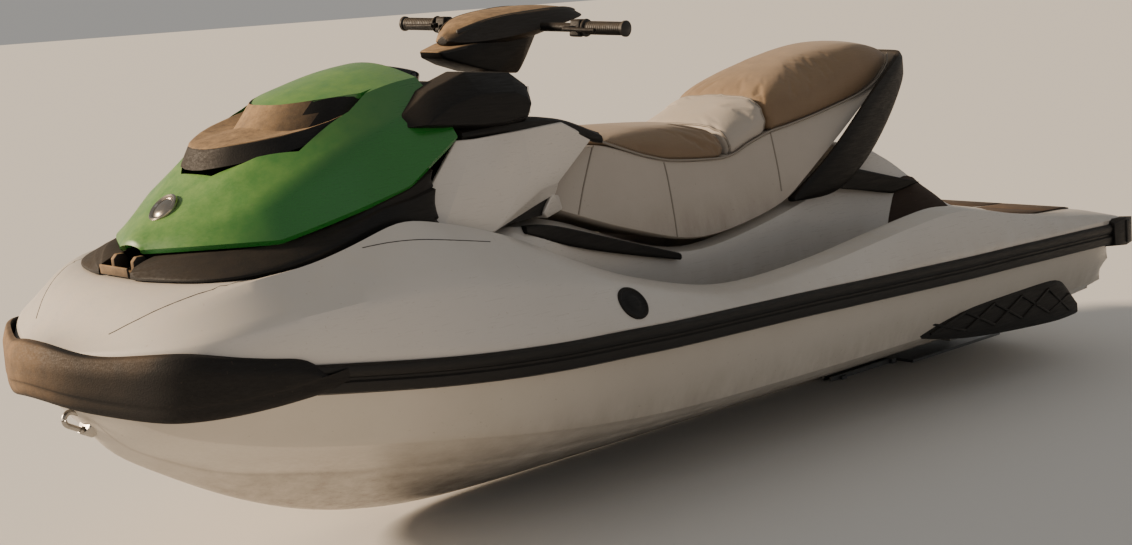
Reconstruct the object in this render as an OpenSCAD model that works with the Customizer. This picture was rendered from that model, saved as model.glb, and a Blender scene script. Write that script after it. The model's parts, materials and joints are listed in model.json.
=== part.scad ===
// Three-seat personal watercraft, bow towards -Y, port towards +X, standing on its keel at z = 0.

/* [Hull and deck] */
// Length over the bumpers
overall_length = 3368; // [2900:1:3900]
// Width over the rub rails
overall_beam = 1236; // [1120:1:1400]
// Height of the rub rail
rail_h = 62; // [40:1:90]
// How far the rub rail stands out of the hull
rail_out = 22; // [12:1:35]
// Thickness of the moulded rubber bumpers
bumper_t = 26; // [16:1:40]

/* [Engine bay and storage] */
// Width of the engine bay and its hatch
bay_w = 380; // [300:1:420]
// Length of the engine bay and its hatch
bay_l = 720; // [560:1:760]
// Width of the engine block
engine_w = 300; // [240:1:330]
// Length of the engine block
engine_l = 620; // [460:1:650]
// Height of the engine block
engine_h = 330; // [250:1:360]
// Width of the storage bin under the hood
bin_w = 380; // [280:1:420]
// Length of the storage bin under the hood
bin_l = 400; // [300:1:440]
// Depth of the storage bin below the shelf
bin_d = 330; // [200:1:360]

/* [Jet drive] */
// Height of the drive line above the keel
drive_z = 125; // [118:1:135]
// Bore of the pump
pump_bore_r = 78; // [72:0.5:84]
// Wall of the pump and of the nozzle
pump_wall = 8; // [6:0.5:10]
// Gap between the impeller and the pump bore
tip_gap = 5; // [5:0.5:8]
// Number of impeller blades
blades = 3; // [2:1:5]
// Radius of the drive shaft
shaft_r = 12; // [9:0.5:15]
// Bore of the steering nozzle at its outlet
outlet_r = 42; // [36:0.5:48]
// Inner radius of the reverse gate about its pivot
gate_r = 105; // [102:0.5:110]

/* [Steering] */
// Handlebar width over the grips
bar_w = 760; // [640:1:820]
// Radius of the handlebar tube
bar_r = 11; // [9:0.5:13]
// Radius of a grip
grip_r = 17; // [14:0.5:20]
// Length of a grip
grip_l = 125; // [100:1:140]
// Radius of the steering column
column_r = 20; // [14:0.5:26]
// Lean of the steering column towards the rider
column_rake = 25; // [20:1:40]
// Angle to port that the handlebar is parked at
parked_steer = 6; // [-20:1:20]
// Steering angle of the nozzle for each degree of the handlebar
steer_ratio = 0.8; // [0.6:0.05:0.9]

/* [Fittings] */
// Pin of the hood hinge
hinge_pin_r = 5; // [4:0.5:7]
// Bore of the bow eye
bow_eye_r = 9; // [7:0.5:12]
// Reach of the bow eye's hole from its foot
bow_eye_reach = 44; // [36:1:53]
// Bore of each stern eye
stern_eye_r = 8; // [6:0.5:10]
// Thread bore of a drain plug
drain_r = 9; // [7:0.5:12]
// Radius of a round side badge
badge_r = 42; // [30:1:50]
// Thickness of the deck mats
mat_t = 6; // [4:0.5:10]

/* [Hidden] */
// Running clearance of a shaft in its bore
fit_gap = 0.05;
// Clearance between pieces that move past each other
clear = 6;
// The size at which the lines below are drawn
drawn_length = 3368;
drawn_beam = 1236;
kl = overall_length / drawn_length;
kb = overall_beam / drawn_beam;
$fn = 48;

// ---- Lines of the hull: [y, keel z, strake x, strake z, chine x, chine z, edge x, edge z]
HULL_LINES = [
    [-1648, 500, 6, 503, 14, 510, 40, 540],
    [-1618, 470, 22, 478, 70, 488, 130, 534],
    [-1580, 418, 45, 430, 150, 452, 262, 528],
    [-1526, 324, 62, 345, 215, 400, 352, 520],
    [-1440, 268, 85, 300, 262, 366, 420, 512],
    [-1330, 200, 112, 245, 312, 336, 462, 500],
    [-1214, 134, 165, 224, 385, 320, 500, 488],
    [-1060, 66, 262, 206, 450, 303, 543, 472],
    [-900, 22, 352, 196, 500, 285, 578, 460],
    [-700, 0, 402, 178, 526, 258, 596, 448],
    [-400, 0, 430, 172, 538, 228, 600, 436],
    [0, 0, 440, 170, 545, 222, 600, 427],
    [500, 0, 440, 168, 546, 220, 600, 410],
    [1000, 0, 440, 168, 544, 220, 598, 398],
    [1400, 0, 438, 168, 534, 220, 586, 386],
    [1592, 0, 434, 168, 516, 220, 566, 378]];

// ---- Lines of the deck: [y, seven [x, z] points from the parting line up and inwards, centre z, tub z]
// The points are the edge, the rail top, the outer crease, the inner crease, the well floor outside and
// inside, and the top of the middle body. The tub is the underside of the footwell, which hangs in the hull.
DECK_LINES = [
    [-1648, [40, 540], [42, 556], [34, 568], [26, 572], [20, 574], [14, 576], [8, 578], 580, 540],
    [-1600, [200, 531], [204, 552], [170, 574], [130, 582], [95, 586], [60, 589], [30, 591], 592, 531],
    [-1540, [342, 522], [346, 552], [322, 584], [240, 616], [180, 632], [120, 642], [60, 648], 650, 522],
    [-1477, [400, 516], [404, 552], [392, 598], [300, 648], [230, 672], [150, 684], [70, 690], 690, 516],
    [-1400, [442, 508], [446, 550], [438, 610], [338, 684], [300, 690], [200, 690], [100, 690], 690, 508],
    [-1330, [465, 500], [470, 546], [460, 620], [362, 700], [334, 690], [240, 690], [120, 690], 690, 500],
    [-1228, [497, 489], [502, 530], [486, 630], [376, 708], [345, 690], [240, 690], [120, 690], 690, 489],
    [-1100, [534, 475], [538, 517], [508, 640], [386, 742], [350, 690], [240, 690], [120, 690], 690, 475],
    [-1007, [558, 467], [562, 507], [516, 642], [388, 774], [352, 690], [240, 690], [120, 690], 690, 467],
    [-925, [575, 461], [579, 499], [521, 636], [382, 760], [350, 690], [240, 690], [120, 690], 690, 461],
    [-800, [590, 453], [594, 489], [526, 620], [372, 728], [345, 690], [240, 690], [120, 690], 690, 453],
    [-690, [596, 447], [600, 482], [530, 602], [385, 690], [345, 690], [240, 690], [120, 690], 690, 447],
    [-600, [598, 445], [602, 479], [532, 586], [420, 640], [370, 640], [310, 686], [290, 690], 690, 445],
    [-500, [600, 440], [604, 474], [536, 560], [432, 600], [412, 420], [290, 420], [284, 690], 690, 378],
    [-420, [600, 436], [604, 470], [539, 540], [440, 568], [420, 315], [240, 310], [270, 682], 682, 262],
    [-300, [600, 433], [604, 466], [543, 508], [448, 532], [432, 308], [228, 308], [246, 645], 645, 258],
    [-126, [600, 429], [604, 461], [550, 476], [462, 488], [446, 305], [225, 305], [242, 582], 582, 258],
    [50, [600, 425], [604, 457], [562, 488], [476, 494], [450, 305], [225, 305], [242, 530], 530, 258],
    [250, [600, 418], [604, 452], [565, 506], [484, 512], [450, 305], [225, 305], [243, 556], 556, 258],
    [440, [600, 412], [604, 447], [566, 530], [482, 538], [450, 305], [226, 305], [246, 594], 594, 258],
    [660, [600, 405], [604, 443], [566, 552], [474, 560], [444, 308], [230, 310], [206, 632], 640, 258],
    [767, [600, 402], [603, 441], [565, 557], [466, 566], [436, 316], [236, 324], [192, 684], 696, 262],
    [850, [600, 400], [602, 440], [565, 548], [462, 558], [430, 334], [244, 345], [188, 722], 738, 288],
    [940, [599, 399], [601, 439], [564, 532], [460, 540], [426, 372], [256, 384], [184, 700], 714, 330],
    [1060, [597, 396], [599, 436], [563, 506], [458, 510], [424, 430], [280, 438], [182, 622], 634, 388],
    [1183, [593, 392], [595, 433], [561, 486], [456, 486], [424, 452], [300, 452], [178, 540], 552, 392],
    [1300, [589, 389], [591, 430], [560, 468], [454, 468], [424, 454], [300, 454], [172, 470], 474, 389],
    [1462, [582, 383], [584, 426], [556, 444], [450, 448], [424, 447], [300, 448], [160, 449], 450, 383],
    [1600, [572, 377], [574, 420], [546, 430], [446, 440], [420, 441], [300, 442], [150, 443], 444, 377],
    [1658, [560, 374], [562, 412], [534, 418], [440, 427], [410, 429], [300, 432], [150, 434], 435, 374]];
// ---- Lines of the hood: [y, edge, side, shoulder, centre z]
HOOD_LINES = [
    [-1414, [52, 752], [36, 757], [18, 760], 762],
    [-1360, [176, 754], [118, 774], [56, 790], 795],
    [-1300, [246, 757], [176, 796], [92, 828], 838],
    [-1234, [288, 761], [226, 826], [122, 878], 892],
    [-1150, [316, 782], [258, 866], [150, 932], 958],
    [-1030, [338, 818], [284, 914], [176, 1002], 1030],
    [-930, [344, 838], [290, 944], [194, 1024], 1058],
    [-850, [337, 882], [286, 966], [198, 1044], 1082],
    [-778, [330, 922], [284, 980], [198, 1050], 1090]];

// ---- Lines of the seat: [y, bottom z, bottom x, seam z, seam x, crown z, crown x]
SEAT_LINES = [
    [-425, 712, 190, 745, 180, 745, 150],
    [-390, 694, 216, 800, 186, 800, 150],
    [-300, 660, 228, 832, 188, 832, 150],
    [-214, 628, 237, 842, 189, 850, 150],
    [-100, 596, 240, 800, 196, 861, 148],
    [0, 566, 240, 770, 200, 858, 146],
    [120, 552, 240, 756, 200, 851, 146],
    [262, 570, 240, 748, 196, 842, 148],
    [340, 584, 240, 776, 192, 868, 150],
    [440, 608, 240, 800, 190, 915, 152],
    [500, 646, 238, 806, 190, 948, 150],
    [620, 716, 232, 822, 186, 976, 146],
    [765, 798, 218, 846, 180, 1008, 140],
    [880, 852, 190, 868, 174, 1026, 134],
    [960, 896, 176, 896, 164, 1020, 124],
    [1040, 938, 150, 938, 140, 998, 104],
    [1088, 962, 110, 962, 104, 974, 78]];
front_pad = [3, 7];
bolster = [7, 9];
rear_pad = [9, 16];
base_end = 13;

// ---- Lines of the black surround below the hood: [y, foot x, foot z, top x, top z]
SURROUND_LINES = [
    [-1462, 90, 692, 60, 712],
    [-1430, 212, 692, 110, 730],
    [-1377, 300, 694, 188, 742],
    [-1300, 342, 704, 258, 746],
    [-1228, 352, 710, 294, 750],
    [-1100, 358, 742, 322, 780],
    [-1007, 362, 774, 342, 812],
    [-930, 358, 762, 346, 830],
    [-862, 348, 744, 340, 868]];

// ---- Lines of a side cowl: [y, foot z, foot x, top z, top x]
COWL_LINES = [
    [-920, 758, 352, 768, 348],
    [-856, 690, 344, 838, 338],
    [-765, 690, 344, 906, 330],
    [-696, 690, 340, 908, 320],
    [-600, 690, 314, 910, 300],
    [-500, 690, 284, 911, 280],
    [-425, 726, 270, 912, 262],
    [-362, 772, 258, 904, 250],
    [-272, 848, 232, 862, 230]];
cowl_t = 20;

// Sides of the footwell tubs where they hang in the hull
tub_x0 = 212;
tub_x1 = 488;
widest = 600;
tub_gap = 2;
// Bonded seam between hull and deck, behind the rub rail
seam_gap = 3;

// ---- Fixed places, drawn with the bow bumper at -drawn_length / 2
shelf_z = 690;
bay_y = 40;
bay_floor_z = 112;
bin_y = -1130;
tunnel_w = 264;
tunnel_top_z = 246;
tunnel_y = 1130;
intake_y = 820;
intake_w = 150;
pump_y0 = 1180;
pump_y1 = 1400;
cone_y1 = 1446;
venturi_y1 = 1500;
nozzle_pivot_y = 1496;
nozzle_y0 = 1484;
nozzle_y1 = 1612;
gate_pivot_y = 1530;
impeller_y = 1270;
column = [0, -400, 1010];
hood_axis_y = -1424;
hood_axis_z = 716;
seat_axis = [0, -425, 760];
lid_axis = [0, -437, 920];

// Piecewise straight line through the columns of a table of lines
function at_y(lines, y, col) = lookup(y, [for (row = lines) [row[0], row[col]]]);
function on_hull(p) = [p[0] * kb, p[1] * kl, p[2]];
function mirrored(half) = [for (i = [len(half) - 2:-1:1]) [-half[i][0], half[i][1]]];
// A closed ring across the craft from half a section that runs from the lower to the upper centre point
function ring(y, half) = [for (p = concat(half, mirrored(half))) on_hull([p[0], y, p[1]])];

// Ring of a flat slab across y, from x0 to x1 and from the lower to the upper z
function slab_ring(x0, x1, y, low, high) =
    [[x0 * kb, y * kl, low], [x1 * kb, y * kl, low], [x1 * kb, y * kl, high], [x0 * kb, y * kl, high]];

// Closed solid through rings of equal length, foremost first. Each end is a fan from the ring's first point,
// or from its topmost one.
module loft(rings, top_apex = false) {
    n = len(rings[0]);
    m = len(rings);
    last = (m - 1) * n;
    apex = top_apex ? n / 2 : 0;
    skin = [for (i = [0:m - 2]) for (j = [0:n - 1])
        let (a = i * n + j, b = i * n + (j + 1) % n)
        each [[a, b, b + n], [a, b + n, a + n]]];
    fan = [for (j = [1:n - 2]) [(apex + j) % n, (apex + j + 1) % n]];
    front = [for (p = fan) [p[1], p[0], apex]];
    back = [for (p = fan) [last + apex, last + p[0], last + p[1]]];
    polyhedron(points = [for (r = rings) each r], faces = concat(front, skin, back));
}

module both_sides() {
    children();
    mirror([1, 0, 0]) children();
}

// A prism whose outline is drawn in the side view as [y, z], from x0 to x1
module side_prism(outline, x0, x1) {
    translate([x0, 0, 0]) rotate([90, 0, 90]) linear_extrude(x1 - x0) polygon(outline);
}

// A cylinder along +Y
module rod_y(r, y0, y1, z) {
    translate([0, y0, z]) rotate([-90, 0, 0]) cylinder(r = r, h = y1 - y0);
}

// A cylinder along +X
module rod_x(r, x0, x1, y, z) {
    translate([x0, y, z]) rotate([0, 90, 0]) cylinder(r = r, h = x1 - x0);
}

module hull_form() {
    loft([for (s = HULL_LINES) let (top = s[7] - seam_gap)
        ring(s[0], [[0, s[1]], [s[2], s[3]], [s[4], s[5]], [s[6], top], [0, top]])]);
}

module deck_form() {
    loft([for (s = DECK_LINES)
        let (x = s[1][0], z = s[1][1], narrow = min(1, x / widest), a = tub_x0 * narrow, b = tub_x1 * narrow)
        ring(s[0], concat([[0, z], [a, z], [a + 1, s[9]], [b - 1, s[9]], [b, z]], [for (i = [1:7]) s[i]],
            [[0, s[8]]]))], top_apex = true);
}

// The pocket in the hull that each footwell tub hangs in
module tub_pocket() {
    under = [for (s = DECK_LINES) if (s[0] > -650 && s[0] < 1200) [s[0] * kl, s[9] - tub_gap - 1]];
    side_prism(concat([[under[0][0], 600]], under, [[under[len(under) - 1][0], 600]]),
        tub_x0 * kb - tub_gap, tub_x1 * kb + tub_gap);
}

module engine_bay() {
    translate([-bay_w / 2, (bay_y - bay_l / 2) * kl, bay_floor_z]) cube([bay_w, bay_l * kl, 700]);
}

module storage_bin() {
    translate([-bin_w / 2, bin_y * kl - bin_l / 2, shelf_z - bin_d]) cube([bin_w, bin_l, bin_d + 200]);
}

module jet_tunnel() {
    translate([-tunnel_w / 2, tunnel_y * kl, -1]) cube([tunnel_w, 900, tunnel_top_z + 1]);
    side_prism([[intake_y * kl, -1], [(tunnel_y + 5) * kl, -1], [(tunnel_y + 5) * kl, drive_z + 80],
        [(tunnel_y - 40) * kl, drive_z + 80]], -intake_w / 2, intake_w / 2);
}

module lower_hull() {
    color("ivory") difference() {
        hull_form();
        engine_bay();
        storage_bin();
        both_sides() tub_pocket();
        jet_tunnel();
        rod_y(shaft_r + 2, 300 * kl, 1200 * kl, drive_z);
        both_sides() drain_hole();
    }
}

module drain_hole() {
    translate([190, 1592 * kl + 1, 120]) rotate([90, 0, 0]) cylinder(r = drain_r + 5, h = 40);
}

module deck() {
    color("ivory") difference() {
        deck_form();
        engine_bay();
        storage_bin();
    }
}

// Half-breadth and height of the parting line at y
EDGE = [for (s = DECK_LINES) [s[0], s[1][0], s[1][1], s[2][0], s[2][1]]];
function edge_x(y) = at_y(EDGE, y, 1);
function edge_z(y) = at_y(EDGE, y, 2);
function rail_x(y) = at_y(EDGE, y, 3);

// Ring of a strip that follows the parting line on the port side
function strip_ring(y, gap, out, low, high) =
    let (x = max(edge_x(y), rail_x(y)) * kb + gap, yk = y * kl, z = edge_z(y))
    [[x, yk, z - low], [x + out, yk, z - low + 8], [x + out, yk, z + high - 8], [x, yk, z + high]];

module rub_rails() {
    rows = [-1300, -1160, -1007, -850, -700, -500, -300, 0, 440, 850, 1183, 1462, 1592];
    color("#1b1b1c") both_sides()
        loft([for (y = rows) strip_ring(y, -12, rail_out + 4, rail_h / 2, rail_h / 2)]);
}

// Plan of the bow bumper's inner face, from the centreline round to the port side: [x, y]
BUMPER_PLAN = [[0, -1658], [90, -1650], [180, -1618], [262, -1586], [330, -1556], [400, -1486], [444, -1406],
    [478, -1306]];
bumper_x1 = 478;
function bumper_edge(grow) = [for (p = BUMPER_PLAN) let (t = p[0] / bumper_x1)
    [p[0] * kb + grow * t, p[1] * kl - grow * (1 - t)]];
bumper_low = [478, 470, 466, 464, 462, 462, 466, 484];
bumper_high = [566, 566, 566, 574, 574, 566, 562, 540];

module bow_bumper_side() {
    inner = bumper_edge(-6);
    outer = bumper_edge(bumper_t);
    loft([for (i = [0:len(inner) - 1])
        let (a = inner[i], b = outer[i], lo = bumper_low[i], hi = bumper_high[i])
        [[a[0], a[1], lo + 14], [b[0], b[1], lo], [b[0], b[1], hi - 34], [a[0], a[1], hi]]]);
}

module bow_bumper() {
    color("#242221") both_sides() bow_bumper_side();
}

module stern_bumpers() {
    rows = [[1592, 556, 592, 336, 424], [1650, 520, 580, 338, 420], [1674, 470, 560, 344, 412],
        [1684, 440, 530, 350, 402]];
    color("#1b1b1c") both_sides() loft([for (s = rows) let (y = s[0] * kl, a = s[1] * kb, b = s[2] * kb)
        [[a, y, s[3]], [b, y, s[3] + 6], [b, y, s[4] - 10], [a, y, s[4]]]]);
}

module bow_eye() {
    color("#c8c4bc") translate([0, -1556 * kl, 392]) rotate([62, 0, 0]) {
        translate([0, 0, -14]) cylinder(r = 24, h = 26);
        difference() {
            translate([-7, -20, 8]) cube([14, 40, bow_eye_reach + 10]);
            translate([-8, 0, bow_eye_reach]) rotate([0, 90, 0]) cylinder(r = bow_eye_r, h = 16);
        }
    }
}

module stern_eye() {
    translate([430 * kb, 1592 * kl, 300]) {
        translate([-24, -6, -24]) cube([48, 12, 48]);
        difference() {
            translate([-6, 0, -20]) cube([12, 44, 40]);
            translate([-7, 24, 0]) rotate([0, 90, 0]) cylinder(r = stern_eye_r, h = 14);
        }
    }
}

module stern_eyes() {
    color("#b9b9b6") both_sides() stern_eye();
}

module drain_plugs() {
    color("#1b1b1c") both_sides() translate([190 * kb, 1592 * kl - 38, 120]) rotate([-90, 0, 0]) {
        difference() {
            cylinder(r = drain_r + 4, h = 50);
            translate([0, 0, 20]) cylinder(r = drain_r, h = 31);
        }
        cylinder(r = drain_r + 4, h = 12);
    }
}

module sponson() {
    rows = [[500, 248, 252, 4], [610, 226, 276, 22], [760, 196, 298, 34], [960, 176, 308, 38],
        [1180, 162, 308, 38], [1290, 156, 300, 38], [1392, 158, 196, 26]];
    loft([for (r = rows) let (x = 530 * kb, y = r[0] * kl)
        [[x, y, r[1]], [x + 14 + r[3], y, r[1] + 4], [x + 20 + r[3], y, r[2] - 8], [x, y, r[2]]]]);
}

module sponsons() {
    color("#1b1b1c") both_sides() sponson();
}

module ride_plate() {
    color("#202122") difference() {
        translate([-120, (tunnel_y + 26) * kl, 0]) cube([240, 484 * kl, 9]);
        both_sides() for (y = [tunnel_y + 60, 1560]) translate([98, y * kl, -1]) cylinder(r = 5, h = 12);
    }
}

module intake_grate() {
    color("#8d9093") {
        for (x = [-60:30:60]) translate([x - 4, intake_y * kl + 2, 1]) cube([8, 306 * kl, 14]);
        translate([-intake_w / 2, (tunnel_y - 20) * kl, 1]) cube([intake_w, 22, 14]);
        translate([-intake_w / 2, intake_y * kl + 40, 1]) cube([intake_w, 22, 10]);
    }
}

pump_r = pump_bore_r + pump_wall;
venturi_r = outlet_r + 4;
// Height of the nozzle's kingpins above and below the drive line
kingpin_z = pump_r + 2.5;

module jet_pump() {
    y0 = pump_y0 * kl;
    y1 = pump_y1 * kl;
    y2 = cone_y1 * kl;
    y3 = venturi_y1 * kl;
    tail_r = venturi_r + pump_wall - 2;
    arm_y1 = gate_pivot_y * kl + 16;
    color("#9a9ea2") {
        difference() {
            union() {
                rod_y(pump_r, y0, y1, drive_z);
                rod_y(pump_r + 14, y0, y0 + 16, drive_z);
                translate([0, y1 - 1, drive_z]) rotate([-90, 0, 0])
                    cylinder(r1 = pump_r - 4, r2 = tail_r - 1, h = y2 - y1 + 1);
                rod_y(tail_r, y2 - 8, y3, drive_z);
                for (s = [-1, 1]) translate([-14, y1 - 40, drive_z + s * kingpin_z - 5])
                    cube([28, nozzle_pivot_y * kl - y1 + 52, 10]);
                both_sides() translate([pump_bore_r + 2, y1 - 58, drive_z - 22]) cube([17, 54, 44]);
                both_sides() translate([87, y1 - 59, drive_z - 23]) cube([12, arm_y1 - y1 + 59, 46]);
                both_sides() translate([98, y1 - 60, drive_z - 90]) cube([tunnel_w / 2 - 98, 40, 170]);
            }
            rod_y(pump_bore_r, y0 - 1, y1 - 20, drive_z);
            translate([0, y1 - 21, drive_z]) rotate([-90, 0, 0])
                cylinder(r1 = pump_bore_r - 1, r2 = venturi_r - 1, h = y2 - y1 + 21);
            rod_y(venturi_r, y2 - 8, y3 + 1, drive_z);
            for (s = [-1, 1]) translate([0, nozzle_pivot_y * kl, drive_z + s * kingpin_z - 6])
                cylinder(r = 6 + fit_gap, h = 12);
            rod_x(7 + fit_gap, -110, 110, gate_pivot_y * kl, drive_z);
        }
        for (a = [20:72:359]) translate([0, y1 - 52, drive_z]) rotate([0, a, 0])
            translate([20, 0, -2]) cube([pump_bore_r - 18, 27, 4]);
        rod_y(22, y1 - 54, y1 - 10, drive_z);
    }
}

module engine() {
    color("#4a4c4e") translate([-engine_w / 2, (bay_y - bay_l / 2) * kl + 40, bay_floor_z])
        cube([engine_w, engine_l * kl, engine_h]);
}

module hood_surround() {
    color("#1b1b1c") difference() {
        loft([for (s = SURROUND_LINES) ring(s[0], [[0, shelf_z], [s[1] - 6, shelf_z], [s[1], s[2] + 4],
            [s[3], s[4] - clear], [0, s[4] - clear]])]);
        translate([-bin_w / 2, bin_y * kl - bin_l / 2, shelf_z - 1]) cube([bin_w, bin_l, 300]);
        translate([-66, hood_axis_y * kl - 50, shelf_z - 1]) cube([132, 116, 120]);
    }
}

module side_cowl() {
    color("ivory") loft([for (s = COWL_LINES) let (y = s[0] * kl, b = s[2] * kb, t = s[4] * kb)
        [[b - cowl_t, y, s[1]], [b, y, s[1]], [t, y, s[3]], [t - cowl_t, y, s[3]]]]);
}

module side_cowl_port() {
    side_cowl();
}

module side_cowl_starboard() {
    mirror([1, 0, 0]) side_cowl();
}

// Lines of the console: [y, half-breadth above its shoulder, height]
CONSOLE_LINES = [
    [-762, 194, 1030],
    [-660, 198, 1034],
    [-560, 198, 1012],
    [-470, 194, 958],
    [-444, 190, 936]];

// The strips that run back beside the rider's knees: [y, inner x, outer x, lower z, upper z]
KNEE_STRIP_LINES = [[-446, 206, 264, 890, 918], [-362, 214, 252, 880, 908], [-240, 216, 236, 846, 870]];

module console() {
    color("#1b1b1c") {
        difference() {
            loft([for (s = CONSOLE_LINES) let (x = at_y(COWL_LINES, s[0], 2) - cowl_t / kb)
                ring(s[0], [[0, shelf_z], [x, shelf_z], [x - 12, 876], [s[1] + 4, 902],
                [s[1], s[2] - 20], [s[1] - 60, s[2]], [0, s[2]]])]);
            glovebox_pocket();
            on_column() cylinder(r = column_r + fit_gap, h = 60, center = true);
            rod_x(14, -98, 98, lid_axis[1] * kl, lid_axis[2]);
        }
        hinge_ears(lid_axis, 100, 8);
        hinge_ears(seat_axis, 40, 12);
        both_sides() loft([for (s = KNEE_STRIP_LINES) slab_ring(s[1], s[2], s[0], s[3], s[4])]);
    }
}

module on_column() {
    translate([column[0], column[1] * kl, column[2]]) rotate([-column_rake, 0, 0]) children();
}

module glovebox_pocket() {
    translate([-95, -560 * kl, 812]) cube([190, 130 * kl, 92]);
}

// A pair of hinge ears on the console's rear face, round an axis at [y, z], bored for the pin
module hinge_ears(at, x, r) {
    y = at[1] * kl;
    both_sides() difference() {
        union() {
            rod_x(r, x, x + 10, y, at[2]);
            translate([x, y - 20, at[2] - r]) cube([10, 20, 2 * r]);
        }
        rod_x(hinge_pin_r + fit_gap, x - 1, x + 11, y, at[2]);
    }
}

module gauge() {
    color("#2a3038") translate([0, -700 * kl, 1033]) rotate([-14, 0, 0]) {
        cylinder(r = 66, h = 26);
        translate([0, 0, 25]) cylinder(r = 58, h = 4);
    }
}

// The hood is an open shell: its own lines less the same lines drawn a wall further in
hood_wall = 14;

module hood() {
    color("#2f8a3a") difference() {
        loft([for (s = HOOD_LINES) ring(s[0], [[0, s[1][1]], s[1], s[2], s[3], [0, s[4]]])]);
        loft([for (s = HOOD_LINES) let (y = s[0] < -1400 ? s[0] + 24 : s[0] + 1, w = hood_wall)
            ring(y, [[0, s[1][1] - 40], [max(s[1][0] - w, 5), s[1][1] - 40],
                [max(s[2][0] - w, 4), s[2][1] - w], [max(s[3][0] - w, 3), s[3][1] - w], [0, s[4] - w]])]);
        both_sides() mirror_notch();
    }
    color("#1b1b1c") hood_hinge_knuckle();
}

module mirror_notch() {
    outline = [[-915, 948], [-690, 905], [-690, 1110], [-806, 1034]];
    side_prism([for (p = outline) [p[0] * kl, p[1]]], 204 * kb, 400 * kb);
}

module mirror_shell() {
    outline = [[-903, 954], [-809, 1026], [-672, 1057], [-515, 1022], [-502, 986], [-520, 928], [-699, 920]];
    y = [for (p = outline) [p[0] * kl, p[1]]];
    small = [for (p = outline) [(p[0] * 0.8 - 140) * kl, p[1] * 0.8 + 196]];
    hull() {
        side_prism(y, 206 * kb, 268 * kb);
        side_prism(small, 268 * kb, 306 * kb);
    }
}

module mirror_port() {
    color("#1b1b1c") difference() {
        mirror_shell();
        mirror_pocket();
    }
}

module mirror_pocket() {
    translate([220 * kb, -522 * kl, 944]) cube([62 * kb, 60, 64]);
}

module mirror_starboard() {
    mirror([1, 0, 0]) mirror_port();
}

module mirror_glasses() {
    color("#b9c4cc") both_sides() translate([220 * kb + 1, -522 * kl, 945]) cube([62 * kb - 2, 5, 62]);
}

module hood_insert() {
    rows = [[-1262, 40, 70, 884, 899], [-1200, 44, 150, 880, 935], [-1100, 60, 200, 912, 960],
        [-1000, 90, 214, 962, 1000], [-905, 130, 206, 1012, 1030]];
    color("#161616") both_sides() loft([for (s = rows) let (y = s[0] * kl, a = s[1] * kb, b = s[2] * kb)
        [[a, y, s[3]], [b, y, s[3] - 6], [b, y, s[4]], [a, y, s[4] + 14]]]);
}

module hood_badge() {
    color("#b8b8b8") translate([0, -1329 * kl, 812]) rotate([42, 0, 0]) cylinder(r = 36, h = 14);
}

module hood_hinge() {
    y = hood_axis_y * kl;
    color("#1b1b1c") {
        translate([-56, y - 38, shelf_z]) cube([112, 90, 6]);
        both_sides() difference() {
            translate([34, y - 16, shelf_z]) cube([14, 32, 42]);
            rod_x(hinge_pin_r + fit_gap, 20, 60, y, hood_axis_z);
        }
    }
}

module hood_hinge_knuckle() {
    y = hood_axis_y * kl;
    rod_x(12, -28, 28, y, hood_axis_z);
    translate([-28, y, hood_axis_z - 2]) cube([56, 36, 42]);
    rod_x(hinge_pin_r, -47, 47, y, hood_axis_z);
}

module glovebox_lid() {
    y = lid_axis[1] * kl;
    z = lid_axis[2];
    color("#232324") {
        translate([-98, y + 1, z - 114]) cube([196, 10, 114]);
        translate([-30, y + 10, z - 96]) cube([60, 5, 16]);
        rod_x(8, -94, 94, y, z);
        rod_x(hinge_pin_r, -108, 108, y, z);
    }
}

module seat_base() {
    y = seat_axis[1] * kl;
    z = seat_axis[2];
    color("#b9b4ad") {
        difference() {
            loft([for (i = [0:base_end]) let (s = SEAT_LINES[i]) ring(s[0], [[0, s[1]], [s[2], s[1]],
                [(s[2] + s[4]) / 2 - 3, (s[1] + s[3]) / 2], [s[4], s[3]], [0, s[3]]])]);
            rod_x(22, -58, 58, y, z);
        }
        rod_x(10, -35, 35, y, z);
        translate([-35, y - 4, z - 30]) cube([70, 14, 30]);
        rod_x(hinge_pin_r, -49, 49, y, z);
    }
}

module seat_cushion(rows) {
    loft([for (i = [rows[0]:rows[1]]) let (s = SEAT_LINES[i], z = s[3], c = max(s[5], z + 3))
        ring(s[0], [[0, z], [s[4], z], [s[4] - 2, z + (c - z) * 0.35], [s[6] + 16, z + (c - z) * 0.75],
            [s[6] - 20, c - (c - z) * 0.06], [0, c]])]);
}

module seat_front_pad() {
    color("#8a6f50") seat_cushion(front_pad);
}

module seat_bolster() {
    color("#b9b4ad") seat_cushion(bolster);
}

module seat_rear_pad() {
    color("#8a6f50") seat_cushion(rear_pad);
}

module seat_trim() {
    rows = [[-560, 668, 686, 284], [-480, 640, 680, 266], [-380, 606, 652, 256], [-200, 560, 594, 250],
        [0, 516, 534, 246]];
    loft([for (r = rows) let (x = (r[3] - 16) * kb, y = r[0] * kl)
        [[x, y, r[1]], [x + 22, y, r[1]], [x + 20, y, r[2]], [x, y, r[2]]]]);
}

module seat_trims() {
    color("#1b1b1c") both_sides() seat_trim();
}

module footwell_mat() {
    rows = [[-400, 236, 418, 310], [-126, 234, 438, 306], [440, 234, 440, 306], [640, 240, 434, 309]];
    loft([for (r = rows) slab_ring(r[1], r[2], r[0], r[3] - 2, r[3] + mat_t)]);
}

module footwell_mats() {
    color("#2b211c") both_sides() footwell_mat();
}

module rear_deck_mat() {
    rows = [[1200, 396, 458], [1300, 398, 457], [1462, 398, 452], [1600, 390, 445], [1640, 380, 437]];
    color("#2b211c") difference() {
        loft([for (r = rows) slab_ring(-r[1], r[1], r[0], r[2] - 4, r[2] + mat_t)]);
        deck_form();
    }
}

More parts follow.
